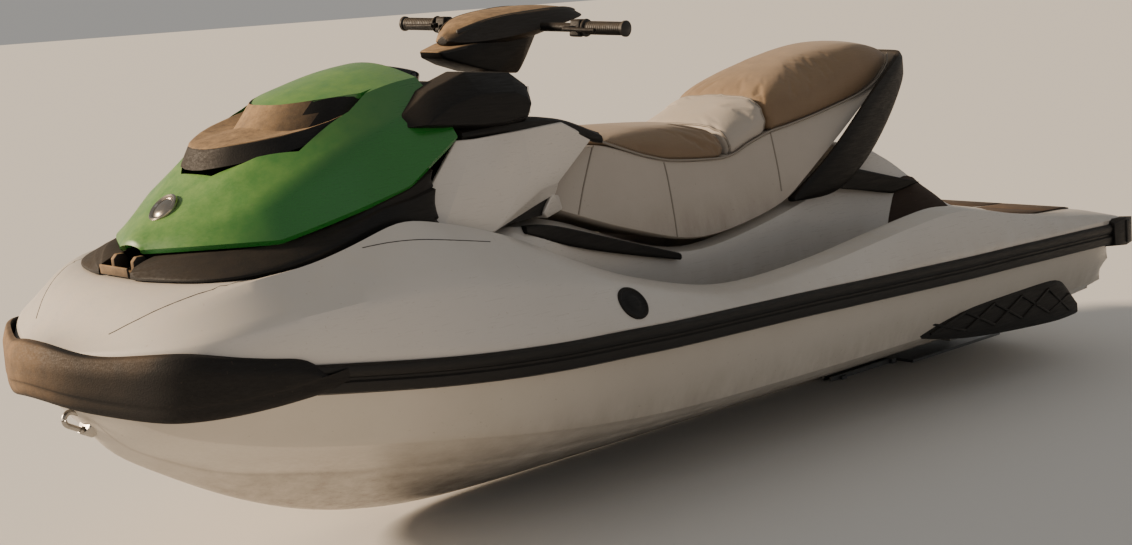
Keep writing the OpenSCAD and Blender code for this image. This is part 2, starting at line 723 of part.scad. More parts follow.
module rear_insert() {
    outline = [[640, 622], [730, 670], [950, 606], [1064, 584], [930, 566]];
    side_prism([for (p = outline) [p[0] * kl, p[1]]], 196 * kb, 238 * kb);
}

module rear_inserts() {
    color("#1b1b1c") both_sides() rear_insert();
}

// The grab handle: [inner x, inner y, outer x, outer y, lower z, upper z] from its foot round to the centre
HANDLE_LINES = [
    [212, 470, 238, 470, 604, 616], [210, 560, 238, 556, 610, 668], [208, 650, 236, 650, 634, 722],
    [198, 790, 226, 792, 738, 800], [180, 930, 208, 936, 818, 868], [150, 1044, 174, 1056, 878, 920],
    [106, 1110, 122, 1134, 908, 944], [50, 1146, 56, 1174, 922, 956], [0, 1154, 0, 1184, 926, 960]];

module grab_handle() {
    color("#1b1b1c") both_sides() loft([for (s = HANDLE_LINES)
        let (a = [s[0] * kb, s[1] * kl], b = [s[2] * kb, s[3] * kl])
        [[a[0], a[1], s[4] + 6], [b[0], b[1], s[4]], [b[0], b[1], s[5] - 6], [a[0], a[1], s[5]]]]);
}

module side_badges() {
    color("#1d1d1e") both_sides() translate([548 * kb, -318 * kl, 488]) rotate([0, 78, 0])
        cylinder(r = badge_r, h = 8);
}

// ---- Steering: everything here turns about the column
module steered() {
    on_column() rotate([0, 0, parked_steer]) rotate([column_rake, 0, 0])
        translate([-column[0], -column[1] * kl, -column[2]]) children();
}

bar_y = column[1] * kl + 84;
bar_z = 1138;

module steering_neck() {
    color("#22201e") steered() {
        on_column() translate([0, 0, -30]) cylinder(r = column_r, h = 90);
        difference() {
            hull() {
                on_column() translate([0, 0, 34]) cylinder(r = 44, h = 20);
                translate([-60, bar_y - 150, bar_z - 62]) cube([120, 150, 20]);
                translate([-50, bar_y - 30, bar_z - 46]) cube([100, 60, 22]);
            }
            rod_x(bar_r + fit_gap, -100, 100, bar_y, bar_z);
        }
    }
}

module handlebar() {
    color("#19191a") steered() rod_x(bar_r, -bar_w / 2 + 4, bar_w / 2 - 4, bar_y, bar_z);
}

module handlebar_pad() {
    color("#4a3a2c") steered() difference() {
        hull() {
            translate([-26, bar_y - 232, bar_z - 34]) cube([52, 10, 22]);
            translate([-92, bar_y - 120, bar_z - 22]) cube([184, 90, 40]);
            translate([-76, bar_y - 10, bar_z - 10]) cube([152, 90, 52]);
            translate([-120, bar_y - 30, bar_z - 16]) cube([240, 60, 34]);
        }
        rod_x(bar_r + fit_gap, -130, 130, bar_y, bar_z);
        hull() {
            on_column() translate([0, 0, 33]) cylinder(r = 45, h = 22);
            translate([-61, bar_y - 151, bar_z - 63]) cube([122, 152, 22]);
            translate([-51, bar_y - 31, bar_z - 47]) cube([102, 62, 24]);
        }
    }
}

module grip() {
    difference() {
        union() {
            rod_x(grip_r, bar_w / 2 - grip_l, bar_w / 2, bar_y, bar_z);
            rod_x(grip_r + 5, bar_w / 2 - grip_l - 5, bar_w / 2 - grip_l, bar_y, bar_z);
        }
        rod_x(bar_r, bar_w / 2 - grip_l - 6, bar_w / 2 - 4, bar_y, bar_z);
    }
}

module grips() {
    color("#141414") steered() both_sides() grip();
}

module lever() {
    difference() {
        translate([bar_w / 2 - grip_l - 44, bar_y - 22, bar_z - 22]) cube([36, 44, 44]);
        rod_x(bar_r, 0, bar_w, bar_y, bar_z);
    }
    translate([bar_w / 2 - grip_l - 40, bar_y - 48, bar_z - 8]) cube([14, 30, 14]);
    translate([bar_w / 2 - grip_l - 40, bar_y - 54, bar_z - 7]) cube([104, 10, 12]);
}

module throttle_lever() {
    color("#161616") steered() mirror([1, 0, 0]) lever();
}

module reverse_lever() {
    color("#161616") steered() lever();
}

// ---- Jet drive
module steering_nozzle() {
    r = outlet_r + pump_wall;
    y = [nozzle_y0, nozzle_y1] * kl;
    inlet = outlet_r + 26;
    color("#8d9093") translate([0, nozzle_pivot_y * kl, 0]) rotate([0, 0, -parked_steer * steer_ratio])
        translate([0, -nozzle_pivot_y * kl, 0]) {
            difference() {
                translate([0, y[0], drive_z]) rotate([-90, 0, 0])
                    cylinder(r1 = inlet + pump_wall, r2 = r, h = y[1] - y[0]);
                translate([0, y[0] - 1, drive_z]) rotate([-90, 0, 0])
                    cylinder(r1 = inlet, r2 = outlet_r, h = y[1] - y[0] - 30);
                rod_y(outlet_r, y[1] - 32, y[1] + 1, drive_z);
            }
            for (s = [-1, 1]) translate([0, nozzle_pivot_y * kl, drive_z + s * (kingpin_z - 5)])
                cylinder(r = 6, h = 22, center = true);
        }
}

module reverse_gate() {
    y = gate_pivot_y * kl;
    plate_r = gate_r + 4;
    fan = [for (a = [42:11:108]) [plate_r * cos(a), plate_r * sin(a)]];
    color("#202122") translate([0, y, drive_z]) {
        rotate([90, 0, 90]) {
            translate([0, 0, -114]) rotate([0, 0, 40]) rotate_extrude(angle = 70)
                translate([gate_r, 0]) square([7, 228]);
            for (x = [-114, 107]) translate([0, 0, x]) linear_extrude(7)
                polygon(concat([[-14, -12], [14, -12]], fan));
        }
        both_sides() translate([86, 0, 0]) rotate([0, 90, 0]) cylinder(r = 7, h = 24);
    }
}

module impeller() {
    r = pump_bore_r - tip_gap;
    y = impeller_y * kl;
    color("#c2c5c8") {
        rod_y(shaft_r, (bay_y + bay_l / 2) * kl + 10, y + 1, drive_z);
        rod_y(24, y, y + 70, drive_z);
        for (i = [0:blades - 1]) translate([0, y + 35, drive_z]) rotate([0, i * 360 / blades, 0])
            intersection() {
                translate([18, 0, 0]) rotate([38, 0, 0]) translate([0, -2, -34]) cube([r - 19, 4, 68]);
                rotate([90, 0, 0]) cylinder(r = r, h = 66, center = true);
            }
    }
}

lower_hull();
deck();
rub_rails();
bow_bumper();
stern_bumpers();
bow_eye();
stern_eyes();
drain_plugs();
sponsons();
ride_plate();
intake_grate();
jet_pump();
engine();
hood_surround();
side_cowl_port();
side_cowl_starboard();
console();
gauge();
hood();
hood_insert();
hood_badge();
hood_hinge();
mirror_port();
mirror_starboard();
mirror_glasses();
glovebox_lid();
seat_base();
seat_front_pad();
seat_bolster();
seat_rear_pad();
seat_trims();
footwell_mats();
rear_deck_mat();
rear_inserts();
grab_handle();
side_badges();
steering_neck();
handlebar();
handlebar_pad();
grips();
throttle_lever();
reverse_lever();
steering_nozzle();
reverse_gate();
impeller();
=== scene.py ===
import json
import math
from contextlib import contextmanager

import bmesh
import bpy
from mathutils import Matrix, Vector
from mathutils.bvhtree import BVHTree

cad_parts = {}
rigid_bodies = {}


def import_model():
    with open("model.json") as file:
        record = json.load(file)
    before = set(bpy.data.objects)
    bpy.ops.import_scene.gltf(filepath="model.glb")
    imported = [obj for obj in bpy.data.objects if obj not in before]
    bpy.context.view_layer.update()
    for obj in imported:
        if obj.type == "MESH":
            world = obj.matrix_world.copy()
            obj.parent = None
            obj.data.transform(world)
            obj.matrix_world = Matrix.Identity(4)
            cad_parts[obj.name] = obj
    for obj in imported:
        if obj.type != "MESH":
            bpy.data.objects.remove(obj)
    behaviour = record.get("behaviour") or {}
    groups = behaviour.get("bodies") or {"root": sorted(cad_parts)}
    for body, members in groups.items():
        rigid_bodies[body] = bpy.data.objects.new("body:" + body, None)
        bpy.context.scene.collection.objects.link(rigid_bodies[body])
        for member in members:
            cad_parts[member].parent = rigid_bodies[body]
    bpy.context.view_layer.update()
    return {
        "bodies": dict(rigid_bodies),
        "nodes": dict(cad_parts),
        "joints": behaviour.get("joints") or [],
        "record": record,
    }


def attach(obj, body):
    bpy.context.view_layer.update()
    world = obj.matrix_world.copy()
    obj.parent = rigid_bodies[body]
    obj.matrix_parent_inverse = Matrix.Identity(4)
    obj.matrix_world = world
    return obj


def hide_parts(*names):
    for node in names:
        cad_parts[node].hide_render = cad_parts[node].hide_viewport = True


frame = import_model()
scene = bpy.context.scene

# lengths in the tables are millimetres, bow towards -Y and port towards +X


def toLinear(hexColour):
    parts = [int(hexColour[i:i + 2], 16) / 255 for i in (1, 3, 5)]
    return [c / 12.92 if c < 0.04045 else ((c + 0.055) / 1.055) ** 2.4 for c in parts] + [1]


def perMetre(size):
    return 1000 / size  # texture scale for a feature of this size in mm, on Object coordinates


def firstOutput(source):
    return source.outputs[0] if isinstance(source, bpy.types.Node) else source


def newMaterial(name):
    material = bpy.data.materials.new(name)
    material.use_nodes = True
    return material, material.node_tree, material.node_tree.nodes["Principled BSDF"]


def addNode(tree, kind, settings=None, links=None):
    # a link's source is an output, or a node for its first output
    node = tree.nodes.new(kind)
    for key, value in (settings or {}).items():
        if isinstance(key, int) or key in node.inputs:
            node.inputs[key].default_value = value
        else:
            setattr(node, key, value)
    for key, source in (links or {}).items():
        tree.links.new(firstOutput(source), node.inputs[key])
    return node


def atY(rows, y, column):
    if y <= rows[0][0]:
        return rows[0][column]
    for a, b in zip(rows, rows[1:]):
        if y <= b[0]:
            return a[column] + (b[column] - a[column]) * (y - a[0]) / (b[0] - a[0])
    return rows[-1][column]


def mix(a, b, t):
    return tuple(p + (q - p) * t for p, q in zip(a, b))


def meshObject(name, points, faces):
    mesh = bpy.data.meshes.new(name)
    mesh.from_pydata([[c / 1000 for c in p] for p in points], [], faces)
    obj = bpy.data.objects.new(name, mesh)
    scene.collection.objects.link(obj)
    return obj


@contextmanager
def editing(obj):
    bm = bmesh.new()
    bm.from_mesh(obj.data)
    yield bm
    bm.to_mesh(obj.data)
    bm.free()


def outward(obj):
    with editing(obj) as bm:
        bmesh.ops.remove_doubles(bm, verts=bm.verts, dist=0.00005)  # a twentieth of a millimetre
        bmesh.ops.recalc_face_normals(bm, faces=bm.faces)
    return obj


def bake(obj):
    graph = bpy.context.evaluated_depsgraph_get()
    mesh = bpy.data.meshes.new_from_object(obj.evaluated_get(graph))
    obj.modifiers.clear()
    obj.data = mesh
    mesh.name = obj.name
    return obj


def modify(obj, kind, **settings):
    mod = obj.modifiers.new(kind.title(), kind)
    for key, value in settings.items():
        setattr(mod, key, value)
    return obj


def subdivide(obj, levels, wall=0):
    modify(obj, "SUBSURF", levels=levels, render_levels=levels)
    if wall:
        modify(obj, "SOLIDIFY", thickness=wall / 1000, offset=-1)
    return bake(obj)


def roundEdges(obj, width, segments=3, angle=25):
    modify(obj, "BEVEL", width=width / 1000, segments=segments, limit_method="ANGLE",
           angle_limit=math.radians(angle))
    return bake(obj)


def cut(obj, *cutters):
    for cutter in cutters:
        modify(obj, "BOOLEAN", operation="DIFFERENCE", solver="EXACT", object=cutter)
        bake(obj)
        bpy.data.objects.remove(cutter)
    return obj


def join(obj, *others):
    bm = bmesh.new()
    for part in (obj,) + others:
        bm.from_mesh(part.data)
    bm.to_mesh(obj.data)
    bm.free()
    for part in others:
        bpy.data.objects.remove(part)
    return obj


def bothSides(obj):
    with editing(obj) as bm:
        copied = bmesh.ops.duplicate(bm, geom=bm.verts[:] + bm.edges[:] + bm.faces[:])["geom"]
        bmesh.ops.scale(bm, vec=(-1, 1, 1), verts=[g for g in copied if isinstance(g, bmesh.types.BMVert)])
        bmesh.ops.reverse_faces(bm, faces=[g for g in copied if isinstance(g, bmesh.types.BMFace)])
    return obj


def fullRing(y, half):
    ring = [(x, y, z) for x, z in half]
    return ring + [(-x, y, z) for x, z in half[-2:0:-1]]


def loft(name, rings, creases=None, endCrease=0):
    # a closed tube of quads through the rings, with soft or hard lines along the chosen columns
    n = len(rings[0])
    points = [p for ring in rings for p in ring]
    last = (len(rings) - 1) * n
    faces = []
    for r in range(len(rings) - 1):
        for i in range(n):
            a, b = r * n + i, r * n + (i + 1) % n
            faces.append((a, b, b + n, a + n))
    faces.append(tuple(range(n))[::-1])
    faces.append(tuple(range(last, last + n)))
    obj = meshObject(name, points, faces)
    with editing(obj) as bm:
        layer = bm.edges.layers.float.new("crease_edge")
        for edge in bm.edges:
            a, b = (v.index for v in edge.verts)
            if abs(a - b) == n:
                edge[layer] = (creases or {}).get(a % n, 0)
            elif {a // n, b // n} in ({0}, {len(rings) - 1}):
                edge[layer] = endCrease
        bmesh.ops.recalc_face_normals(bm, faces=bm.faces)
    return obj


def symmetric(name, rows, creases=None, endCrease=0):
    # rows of [y, half section from the lower to the upper centre point]
    n = 2 * len(rows[0][1]) - 2
    both = dict(creases or {})
    both.update({n - i: w for i, w in (creases or {}).items() if 0 < i})
    return loft(name, [fullRing(y, half) for y, half in rows], both, endCrease)


def convex(name, groups, width=4, segments=3, angle=20):
    # faceted moulding: the hull of each group of points, its edges rounded
    obj = meshObject(name, [], [])
    with editing(obj) as bm:
        for group in groups:
            made = [bm.verts.new([c / 1000 for c in p]) for p in group]
            out = bmesh.ops.convex_hull(bm, input=made)
            inside = out["geom_interior"] + out["geom_unused"]
            spare = {g for g in inside if g.is_valid and isinstance(g, bmesh.types.BMVert)}
            bmesh.ops.delete(bm, geom=sorted(spare, key=lambda v: v.index), context="VERTS")
        bmesh.ops.dissolve_limit(bm, angle_limit=math.radians(2), verts=bm.verts, edges=bm.edges)
        bmesh.ops.recalc_face_normals(bm, faces=bm.faces)
    return roundEdges(obj, width, segments, angle) if width else obj


def across(name, x0, x1, outline, width, segments=3):
    # small moulding: a side outline [y, z] carried straight across from x0 to x1
    return convex(name, [[(x, y, z) for x in (x0, x1) for y, z in outline]], width, segments)


def block(name, low, high):
    corners = [(x, y, z) for x in (low[0], high[0]) for y in (low[1], high[1]) for z in (low[2], high[2])]
    return convex(name, [corners], width=0)


def prism(name, outline, x0, x1):
    # outline in the side view, [y, z]
    n = len(outline)
    points = [(x, y, z) for x in (x0, x1) for y, z in outline]
    faces = [tuple(range(n)),
             tuple(range(n, 2 * n))] + [(i, (i + 1) % n, n + (i + 1) % n, n + i) for i in range(n)]
    return outward(meshObject(name, points, faces))


def disc(name, centre, axis, profile, steps=48):
    # turned shape: profile of (radius, height) along the axis
    turn = Vector(axis).normalized().to_track_quat("Z", "Y").to_matrix()
    angles = [2 * math.pi * i / steps for i in range(steps)]
    return loft(name, [[tuple(turn @ Vector((r * math.cos(t), r * math.sin(t), h)) + Vector(centre))
                        for t in angles]
                       for r, h in profile])


def sweep(name, path, radius, sides=12):
    # round tube along a list of points
    rings = []
    for i, p in enumerate(path):
        a, b = Vector(path[max(i - 1, 0)]), Vector(path[min(i + 1, len(path) - 1)])
        turn = (b - a).normalized().to_track_quat("Z", "Y").to_matrix()
        rings.append([tuple(turn @ Vector((radius * math.cos(t), radius * math.sin(t), 0)) + Vector(p))
                      for t in (2 * math.pi * k / sides for k in range(sides))])
    return loft(name, rings)


def rod(name, half, spot, radius, sides=24):
    # straight round bar across the middle of the craft, at the spot [y, z]
    return sweep(name, [(-half, *spot), (half, *spot)], radius, sides)


def curved(points, steps=8):
    # smooth line through a few points
    out = []
    for i in range(len(points) - 1):
        p0, p1, p2, p3 = (Vector(points[min(max(i + k, 0), len(points) - 1)]) for k in (-1, 0, 1, 2))
        for s in range(steps):
            t = s / steps
            out.append(tuple(0.5 * (2 * p1 + (p2 - p0) * t + (2 * p0 - 5 * p1 + 4 * p2 - p3) * t ** 2
                                    + (3 * p1 - p0 - 3 * p2 + p3) * t ** 3)))
    return out + [tuple(points[-1])]


def place(obj, material, body, slot, *replaced, sharp=32):
    obj.data.materials.clear()
    obj.data.materials.append(material)
    obj.data.shade_smooth()
    obj.data.set_sharp_from_angle(angle=math.radians(sharp))
    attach(obj, body)
    if replaced:
        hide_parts(*replaced)
    return obj


# camera first, then light and floor; places in metres
cameraLook = {"place": (3.2829, -3.2058, 1.2505), "right": (0.68435, 0.7266, -0.06142),
              "up": (-0.08065, 0.15915, 0.98399), "lens": 55.28, "sensor": 36}


def addCamera(look):
    data = bpy.data.cameras.new("camera")
    data.lens = look["lens"]
    data.sensor_width = look["sensor"]
    camera = bpy.data.objects.new("camera", data)
    scene.collection.objects.link(camera)
    right, up = Vector(look["right"]).normalized(), Vector(look["up"]).normalized()
    turn = Matrix((right, up, right.cross(up))).transposed().to_4x4()
    camera.matrix_world = Matrix.Translation(look["place"]) @ turn
    bpy.context.scene.camera = camera


addCamera(cameraLook)

studio = {"sunFrom": (-0.74, -0.6, 0.36), "sunPower": 7.6, "sunColour": "#ffe4c4", "sunSize": 9,
          "fillFrom": (5, -2.5, 3.4), "fillAt": (0, 0, 0.5), "fillPower": 14, "fillSize": 4.0,
          "fillColour": "#e9eef8",
          "world": "#f3efe9", "worldPower": 0.38, "floor": "#e4e2de", "floorRoughness": 0.9,
          "floorReach": 60000}


def addStudio(look):
    sun = bpy.data.lights.new("keySun", "SUN")
    sun.energy = look["sunPower"]
    sun.color = toLinear(look["sunColour"])[:3]
    sun.angle = math.radians(look["sunSize"])
    lamp = bpy.data.objects.new("keySun", sun)
    lamp.rotation_euler = Vector(look["sunFrom"]).to_track_quat("Z", "Y").to_euler()
    scene.collection.objects.link(lamp)
    area = bpy.data.lights.new("softFill", "AREA")
    area.energy = look["fillPower"]
    area.size = look["fillSize"]
    area.color = toLinear(look["fillColour"])[:3]
    fill = bpy.data.objects.new("softFill", area)
    fill.location = look["fillFrom"]
    fill.rotation_euler = (
        Vector(look["fillFrom"]) - Vector(look["fillAt"])).to_track_quat("Z", "Y").to_euler()
    scene.collection.objects.link(fill)
    world = bpy.data.worlds.new("studio")
    world.use_nodes = True
    back = world.node_tree.nodes["Background"]
    back.inputs["Color"].default_value = toLinear(look["world"])
    back.inputs["Strength"].default_value = look["worldPower"]
    scene.world = world


addStudio(studio)


def addFloor(look):
    material, _, shader = newMaterial("painted_floor")
    shader.inputs["Base Color"].default_value = toLinear(look["floor"])
    shader.inputs["Roughness"].default_value = look["floorRoughness"]
    reach = look["floorReach"]
    corners = [(-reach, -reach, 0), (reach, -reach, 0), (reach, reach, 0), (-reach, reach, 0)]
    floor = meshObject("floor", corners, [(0, 1, 2, 3)])
    floor.data.materials.append(material)


addFloor(studio)
print("studio ready")

# every moulded finish shares one build: a body colour that drifts, a pale bloom on the faces that look to the
# sky and the bow that is partly dust and partly painted sunlight, dirt that climbs from below, and a grain or
# scratches in the bump.
# Sizes and the dirt band's heights are millimetres; this is what a finish has unless its own look says
# otherwise
usualMoulding = {"driftSize": 260, "dustAndSunFrom": (-0.2, -0.45, 0.87), "dustAndSunStart": 0.35, "dustAndSunFull": 0.95,
                 "dustAndSunSize": 45, "dustAndSun": 0.3, "dustAndSunColour": "#a08a6c", "dirtBand": (100, 420),
                 "dirt": 0.0, "dirtSize": 70, "speckSize": 9, "specks": 0.25, "dirtColour": "#5a4a38",
                 "scuffSize": 8, "grainKind": "ShaderNodeTexNoise", "grainSize": 2.2, "grain": 0.15,
                 "scuff": 0.1, "waveSize": 120, "wave": 0.15, "ior": 1.5, "specular": 0.5, "coat": 0,
                 "coatRoughness": 0.15, "sheen": 0}


def finish(tree, shader, links, settings):
    for socket, source in links.items():
        tree.links.new(firstOutput(source), shader.inputs[socket])
    for socket, value in settings.items():
        shader.inputs[socket].default_value = value


def mouldedFinish(name, look):
    look = {**usualMoulding, **look}
    material, tree, shader = newMaterial(name)
    place = addNode(tree, "ShaderNodeTexCoord")
    here = place.outputs["Object"]
    drift = addNode(tree, "ShaderNodeTexNoise",
                    {"Scale": perMetre(look["driftSize"]), "Detail": 5.0, "Roughness": 0.6}, {"Vector": here})
    colour = addNode(tree, "ShaderNodeMix",
                     {"data_type": "RGBA", 6: toLinear(look["colour"]), 7: toLinear(look["second"])},
                     {0: drift}).outputs[2]
    # dust and painted sunlight on faces turned up and forward, broken by two sizes of noise
    facing = addNode(tree, "ShaderNodeVectorMath", {"operation": "DOT_PRODUCT", 1: look["dustAndSunFrom"]},
                     {0: place.outputs["Normal"]})
    turned = addNode(tree, "ShaderNodeMapRange",
                     {"From Min": look["dustAndSunStart"], "From Max": look["dustAndSunFull"]},
                     {"Value": facing.outputs["Value"]})
    cloud = addNode(tree, "ShaderNodeTexNoise",
                    {"Scale": perMetre(look["dustAndSunSize"]), "Detail": 8.0, "Roughness": 0.7}, {"Vector": here})
    broken = addNode(tree, "ShaderNodeMapRange", {"From Min": 0.3, "From Max": 0.72, "To Min": 0.35},
                     {"Value": cloud})
    dustAndSun = addNode(tree, "ShaderNodeMath", {"operation": "MULTIPLY"}, {0: turned, 1: broken})
    amount = addNode(tree, "ShaderNodeMath", {"operation": "MULTIPLY", 1: look["dustAndSun"]}, {0: dustAndSun})
    colour = addNode(tree, "ShaderNodeMix", {"data_type": "RGBA", 7: toLinear(look["dustAndSunColour"])},
                     {0: amount, 6: colour}).outputs[2]
    # dirt rising from the ground line
    parts = addNode(tree, "ShaderNodeSeparateXYZ", None, {"Vector": here})
    low, high = look["dirtBand"]
    rising = addNode(tree, "ShaderNodeMapRange",
                     {"From Min": high / 1000, "From Max": low / 1000, "To Max": look["dirt"]},
                     {"Value": parts.outputs["Z"]})
    streak = addNode(tree, "ShaderNodeMapping", {"Scale": (1, 1, 0.35)}, {"Vector": here})
    run = addNode(tree, "ShaderNodeTexNoise",
                  {"Scale": perMetre(look["dirtSize"]), "Detail": 9.0, "Roughness": 0.72},
                  {"Vector": streak})
    runs = addNode(tree, "ShaderNodeMapRange", {"From Min": 0.34, "From Max": 0.66}, {"Value": run})
    grime = addNode(tree, "ShaderNodeMath", {"operation": "MULTIPLY"}, {0: rising, 1: runs})
    specks = addNode(tree, "ShaderNodeTexNoise", {"Scale": perMetre(look["speckSize"]), "Detail": 2.0},
                     {"Vector": here})
    speck = addNode(tree, "ShaderNodeMapRange", {"From Min": 0.7, "From Max": 0.76, "To Max": look["specks"]},
                    {"Value": specks})
    soil = addNode(tree, "ShaderNodeMath", {"operation": "ADD", "use_clamp": True}, {0: grime, 1: speck})
    colour = addNode(tree, "ShaderNodeMix", {"data_type": "RGBA", 7: toLinear(look["dirtColour"])},
                     {0: soil, 6: colour}).outputs[2]
    # scuffs are long thin noise that dulls the gloss; the grain is the mould's own texture
    stretched = addNode(tree, "ShaderNodeMapping", {"Scale": (1, 0.12, 2.2), "Rotation": (0.1, 0, 0.03)},
                        {"Vector": here})
    scuff = addNode(tree, "ShaderNodeTexNoise",
                    {"Scale": perMetre(look["scuffSize"]), "Detail": 6.0, "Roughness": 0.65},
                    {"Vector": stretched})
    rubbed = addNode(tree, "ShaderNodeMapRange",
                     {"From Min": 0.35, "From Max": 0.75, "To Min": look["roughness"][0],
                      "To Max": look["roughness"][1]},
                     {"Value": scuff})
    dull = addNode(tree, "ShaderNodeMath", {"operation": "MULTIPLY_ADD", 1: 0.35, "use_clamp": True},
                   {0: dustAndSun, 2: rubbed})
    grain = addNode(tree, look["grainKind"], {"Scale": perMetre(look["grainSize"])}, {"Vector": here})
    bumpA = addNode(tree, "ShaderNodeBump", {"Strength": look["grain"], "Distance": look["grainSize"] / 6000},
                    {"Height": grain})
    bumpB = addNode(tree, "ShaderNodeBump", {"Strength": look["scuff"], "Distance": 0.0006},
                    {"Height": scuff, "Normal": bumpA})
    wavy = addNode(tree, "ShaderNodeTexNoise", {"Scale": perMetre(look["waveSize"]), "Detail": 1.0},
                   {"Vector": here})
    bumpC = addNode(tree, "ShaderNodeBump", {"Strength": look["wave"], "Distance": 0.004},
                    {"Height": wavy, "Normal": bumpB})
    finish(tree, shader, {"Base Color": colour, "Roughness": dull, "Normal": bumpC},
           {"IOR": look["ior"], "Specular IOR Level": look["specular"], "Coat Weight": look["coat"],
            "Coat Roughness": look["coatRoughness"], "Sheen Weight": look["sheen"]})
    return material


def metalFinish(name, look):
    material, tree, shader = newMaterial(name)
    here = addNode(tree, "ShaderNodeTexCoord").outputs["Object"]
    stain = addNode(tree, "ShaderNodeTexNoise",
                    {"Scale": perMetre(look["stainSize"]), "Detail": 7.0, "Roughness": 0.65},
                    {"Vector": here})
    colour = addNode(tree, "ShaderNodeMix",
                     {"data_type": "RGBA", 6: toLinear(look["colour"]), 7: toLinear(look["stain"])},
                     {0: stain})
    cast = addNode(tree, "ShaderNodeTexNoise", {"Scale": perMetre(look["castSize"]), "Detail": 3.0},
                   {"Vector": here})
    rough = addNode(tree, "ShaderNodeMapRange",
                    {"To Min": look["roughness"][0], "To Max": look["roughness"][1]}, {"Value": stain})
    bump = addNode(tree, "ShaderNodeBump", {"Strength": look["bump"], "Distance": look["castSize"] / 5000},
                   {"Height": cast})
    finish(tree, shader, {"Base Color": colour.outputs[2], "Roughness": rough, "Normal": bump},
           {"Metallic": look.get("metallic", 1.0)})
    return material


# gelcoat hull: glossy sprayed resin, yellowed and stained brown where the waterline and the sand reach it
gelcoatHull = mouldedFinish("gelcoat_hull", {
    "colour": "#c3beb6", "second": "#aaa398", "driftSize": 420, "dustAndSunColour": "#b7a282", "dustAndSun": 0.25,
    "dirt": 0.95, "dirtBand": (60, 330),
    "dirtColour": "#5f4e3b", "dirtSize": 60, "roughness": (0.28, 0.5), "grain": 0.03, "scuff": 0.16,
    "coat": 0.25, "wave": 0.08, "specks": 0.3})
# gelcoat deck: the same resin, cleaner, with a long soft reflection
gelcoatDeck = mouldedFinish("gelcoat_deck", {
    "colour": "#cbc8c4", "second": "#b9b5b0", "driftSize": 500, "dustAndSunColour": "#cdbb9c", "dustAndSun": 0.35,
    "dirt": 0.3, "dirtBand": (400, 520),
    "dirtColour": "#8d7d68", "roughness": (0.25, 0.45), "grain": 0.02, "scuff": 0.12, "coat": 0.3,
    "wave": 0.06, "specks": 0.28})
# colour-moulded hood plastic: deep green with a waxy gloss and a yellow-green bloom of painted sunlight on
# the faces turned up
greenPlastic = mouldedFinish("green_hood_plastic", {
    "colour": "#23702a", "second": "#1c6124", "driftSize": 300, "dustAndSunColour": "#8fae4e", "dustAndSun": 0.55,
    "dustAndSunStart": 0.55, "dustAndSunFull": 1.0,
    "roughness": (0.24, 0.42), "grain": 0.04, "grainSize": 1.6, "scuff": 0.1, "coat": 0.35, "specks": 0.15,
    "dirtColour": "#5b5a3a"})
# grained black moulding: fine leather-like mould grain, near black in shade, with a chalky tan where it looks
# up that is partly dust and partly painted sunlight
blackMoulding = mouldedFinish("grained_black_moulding", {
    "colour": "#080809", "second": "#100f0f", "dustAndSunColour": "#6f5d47", "dustAndSun": 0.16, "dustAndSunStart": 0.55,
    "specular": 0.3, "roughness": (0.5, 0.72),
    "grainKind": "ShaderNodeTexVoronoi", "grainSize": 3.0, "grain": 0.35, "scuff": 0.12, "specks": 0.12})
# dust and sunlit moulding: the same black plastic, tan and powdery on every face turned towards the sun lamp,
# partly dust and partly painted sunlight
dustAndSunlitMoulding = mouldedFinish("sun_bleached_moulding", {
    "colour": "#15120f", "second": "#221c17", "dustAndSunColour": "#a58762", "dustAndSun": 0.98, "dustAndSunStart": 0.12,
    "dustAndSunFull": 0.7,
    "dustAndSunFrom": (-0.55, -0.5, 0.67), "dustAndSunSize": 26, "roughness": (0.55, 0.8),
    "grainKind": "ShaderNodeTexVoronoi", "grainSize": 3.0, "grain": 0.4,
    "scuff": 0.2})
# extruded rubber rail: smooth, slightly waxy, scraped along its length
rubberRail = mouldedFinish("rail_rubber", {
    "colour": "#0a0a0b", "second": "#121111", "dustAndSunColour": "#54493c", "dustAndSun": 0.25, "specular": 0.35,
    "roughness": (0.42, 0.66), "grainSize": 1.8, "grain": 0.12,
    "scuff": 0.3, "scuffSize": 5, "specks": 0.2, "dirtColour": "#3d352c"})
# bumper rubber: coarse grain, dry, with a tan on the faces towards the bow and the sun lamp that is partly
# dust and partly painted sunlight
bumperRubber = mouldedFinish("bumper_rubber", {
    "colour": "#0c0b0b", "second": "#161312", "specular": 0.3, "dustAndSunColour": "#93785a", "dustAndSun": 0.95,
    "dustAndSunFrom": (-0.7, -0.65, 0.3), "dustAndSunStart": 0.3, "dustAndSunFull": 0.95,
    "roughness": (0.55, 0.78), "grainKind": "ShaderNodeTexVoronoi", "grainSize": 3.4, "grain": 0.45,
    "scuff": 0.25, "specks": 0.2})
# marine vinyl, tan: embossed leather grain with a soft sheen, creases at the seams, and a paler top that is
# partly dust and partly painted sunlight
tanVinyl = mouldedFinish("tan_marine_vinyl", {
    "colour": "#7d664e", "second": "#6b573f", "driftSize": 160, "dustAndSunColour": "#b79a74", "dustAndSun": 0.35,
    "dustAndSunStart": 0.2, "roughness": (0.5, 0.66),
    "grainKind": "ShaderNodeTexVoronoi", "grainSize": 3.2, "grain": 0.3, "scuff": 0.12, "wave": 0.5,
    "waveSize": 70, "sheen": 0.15})
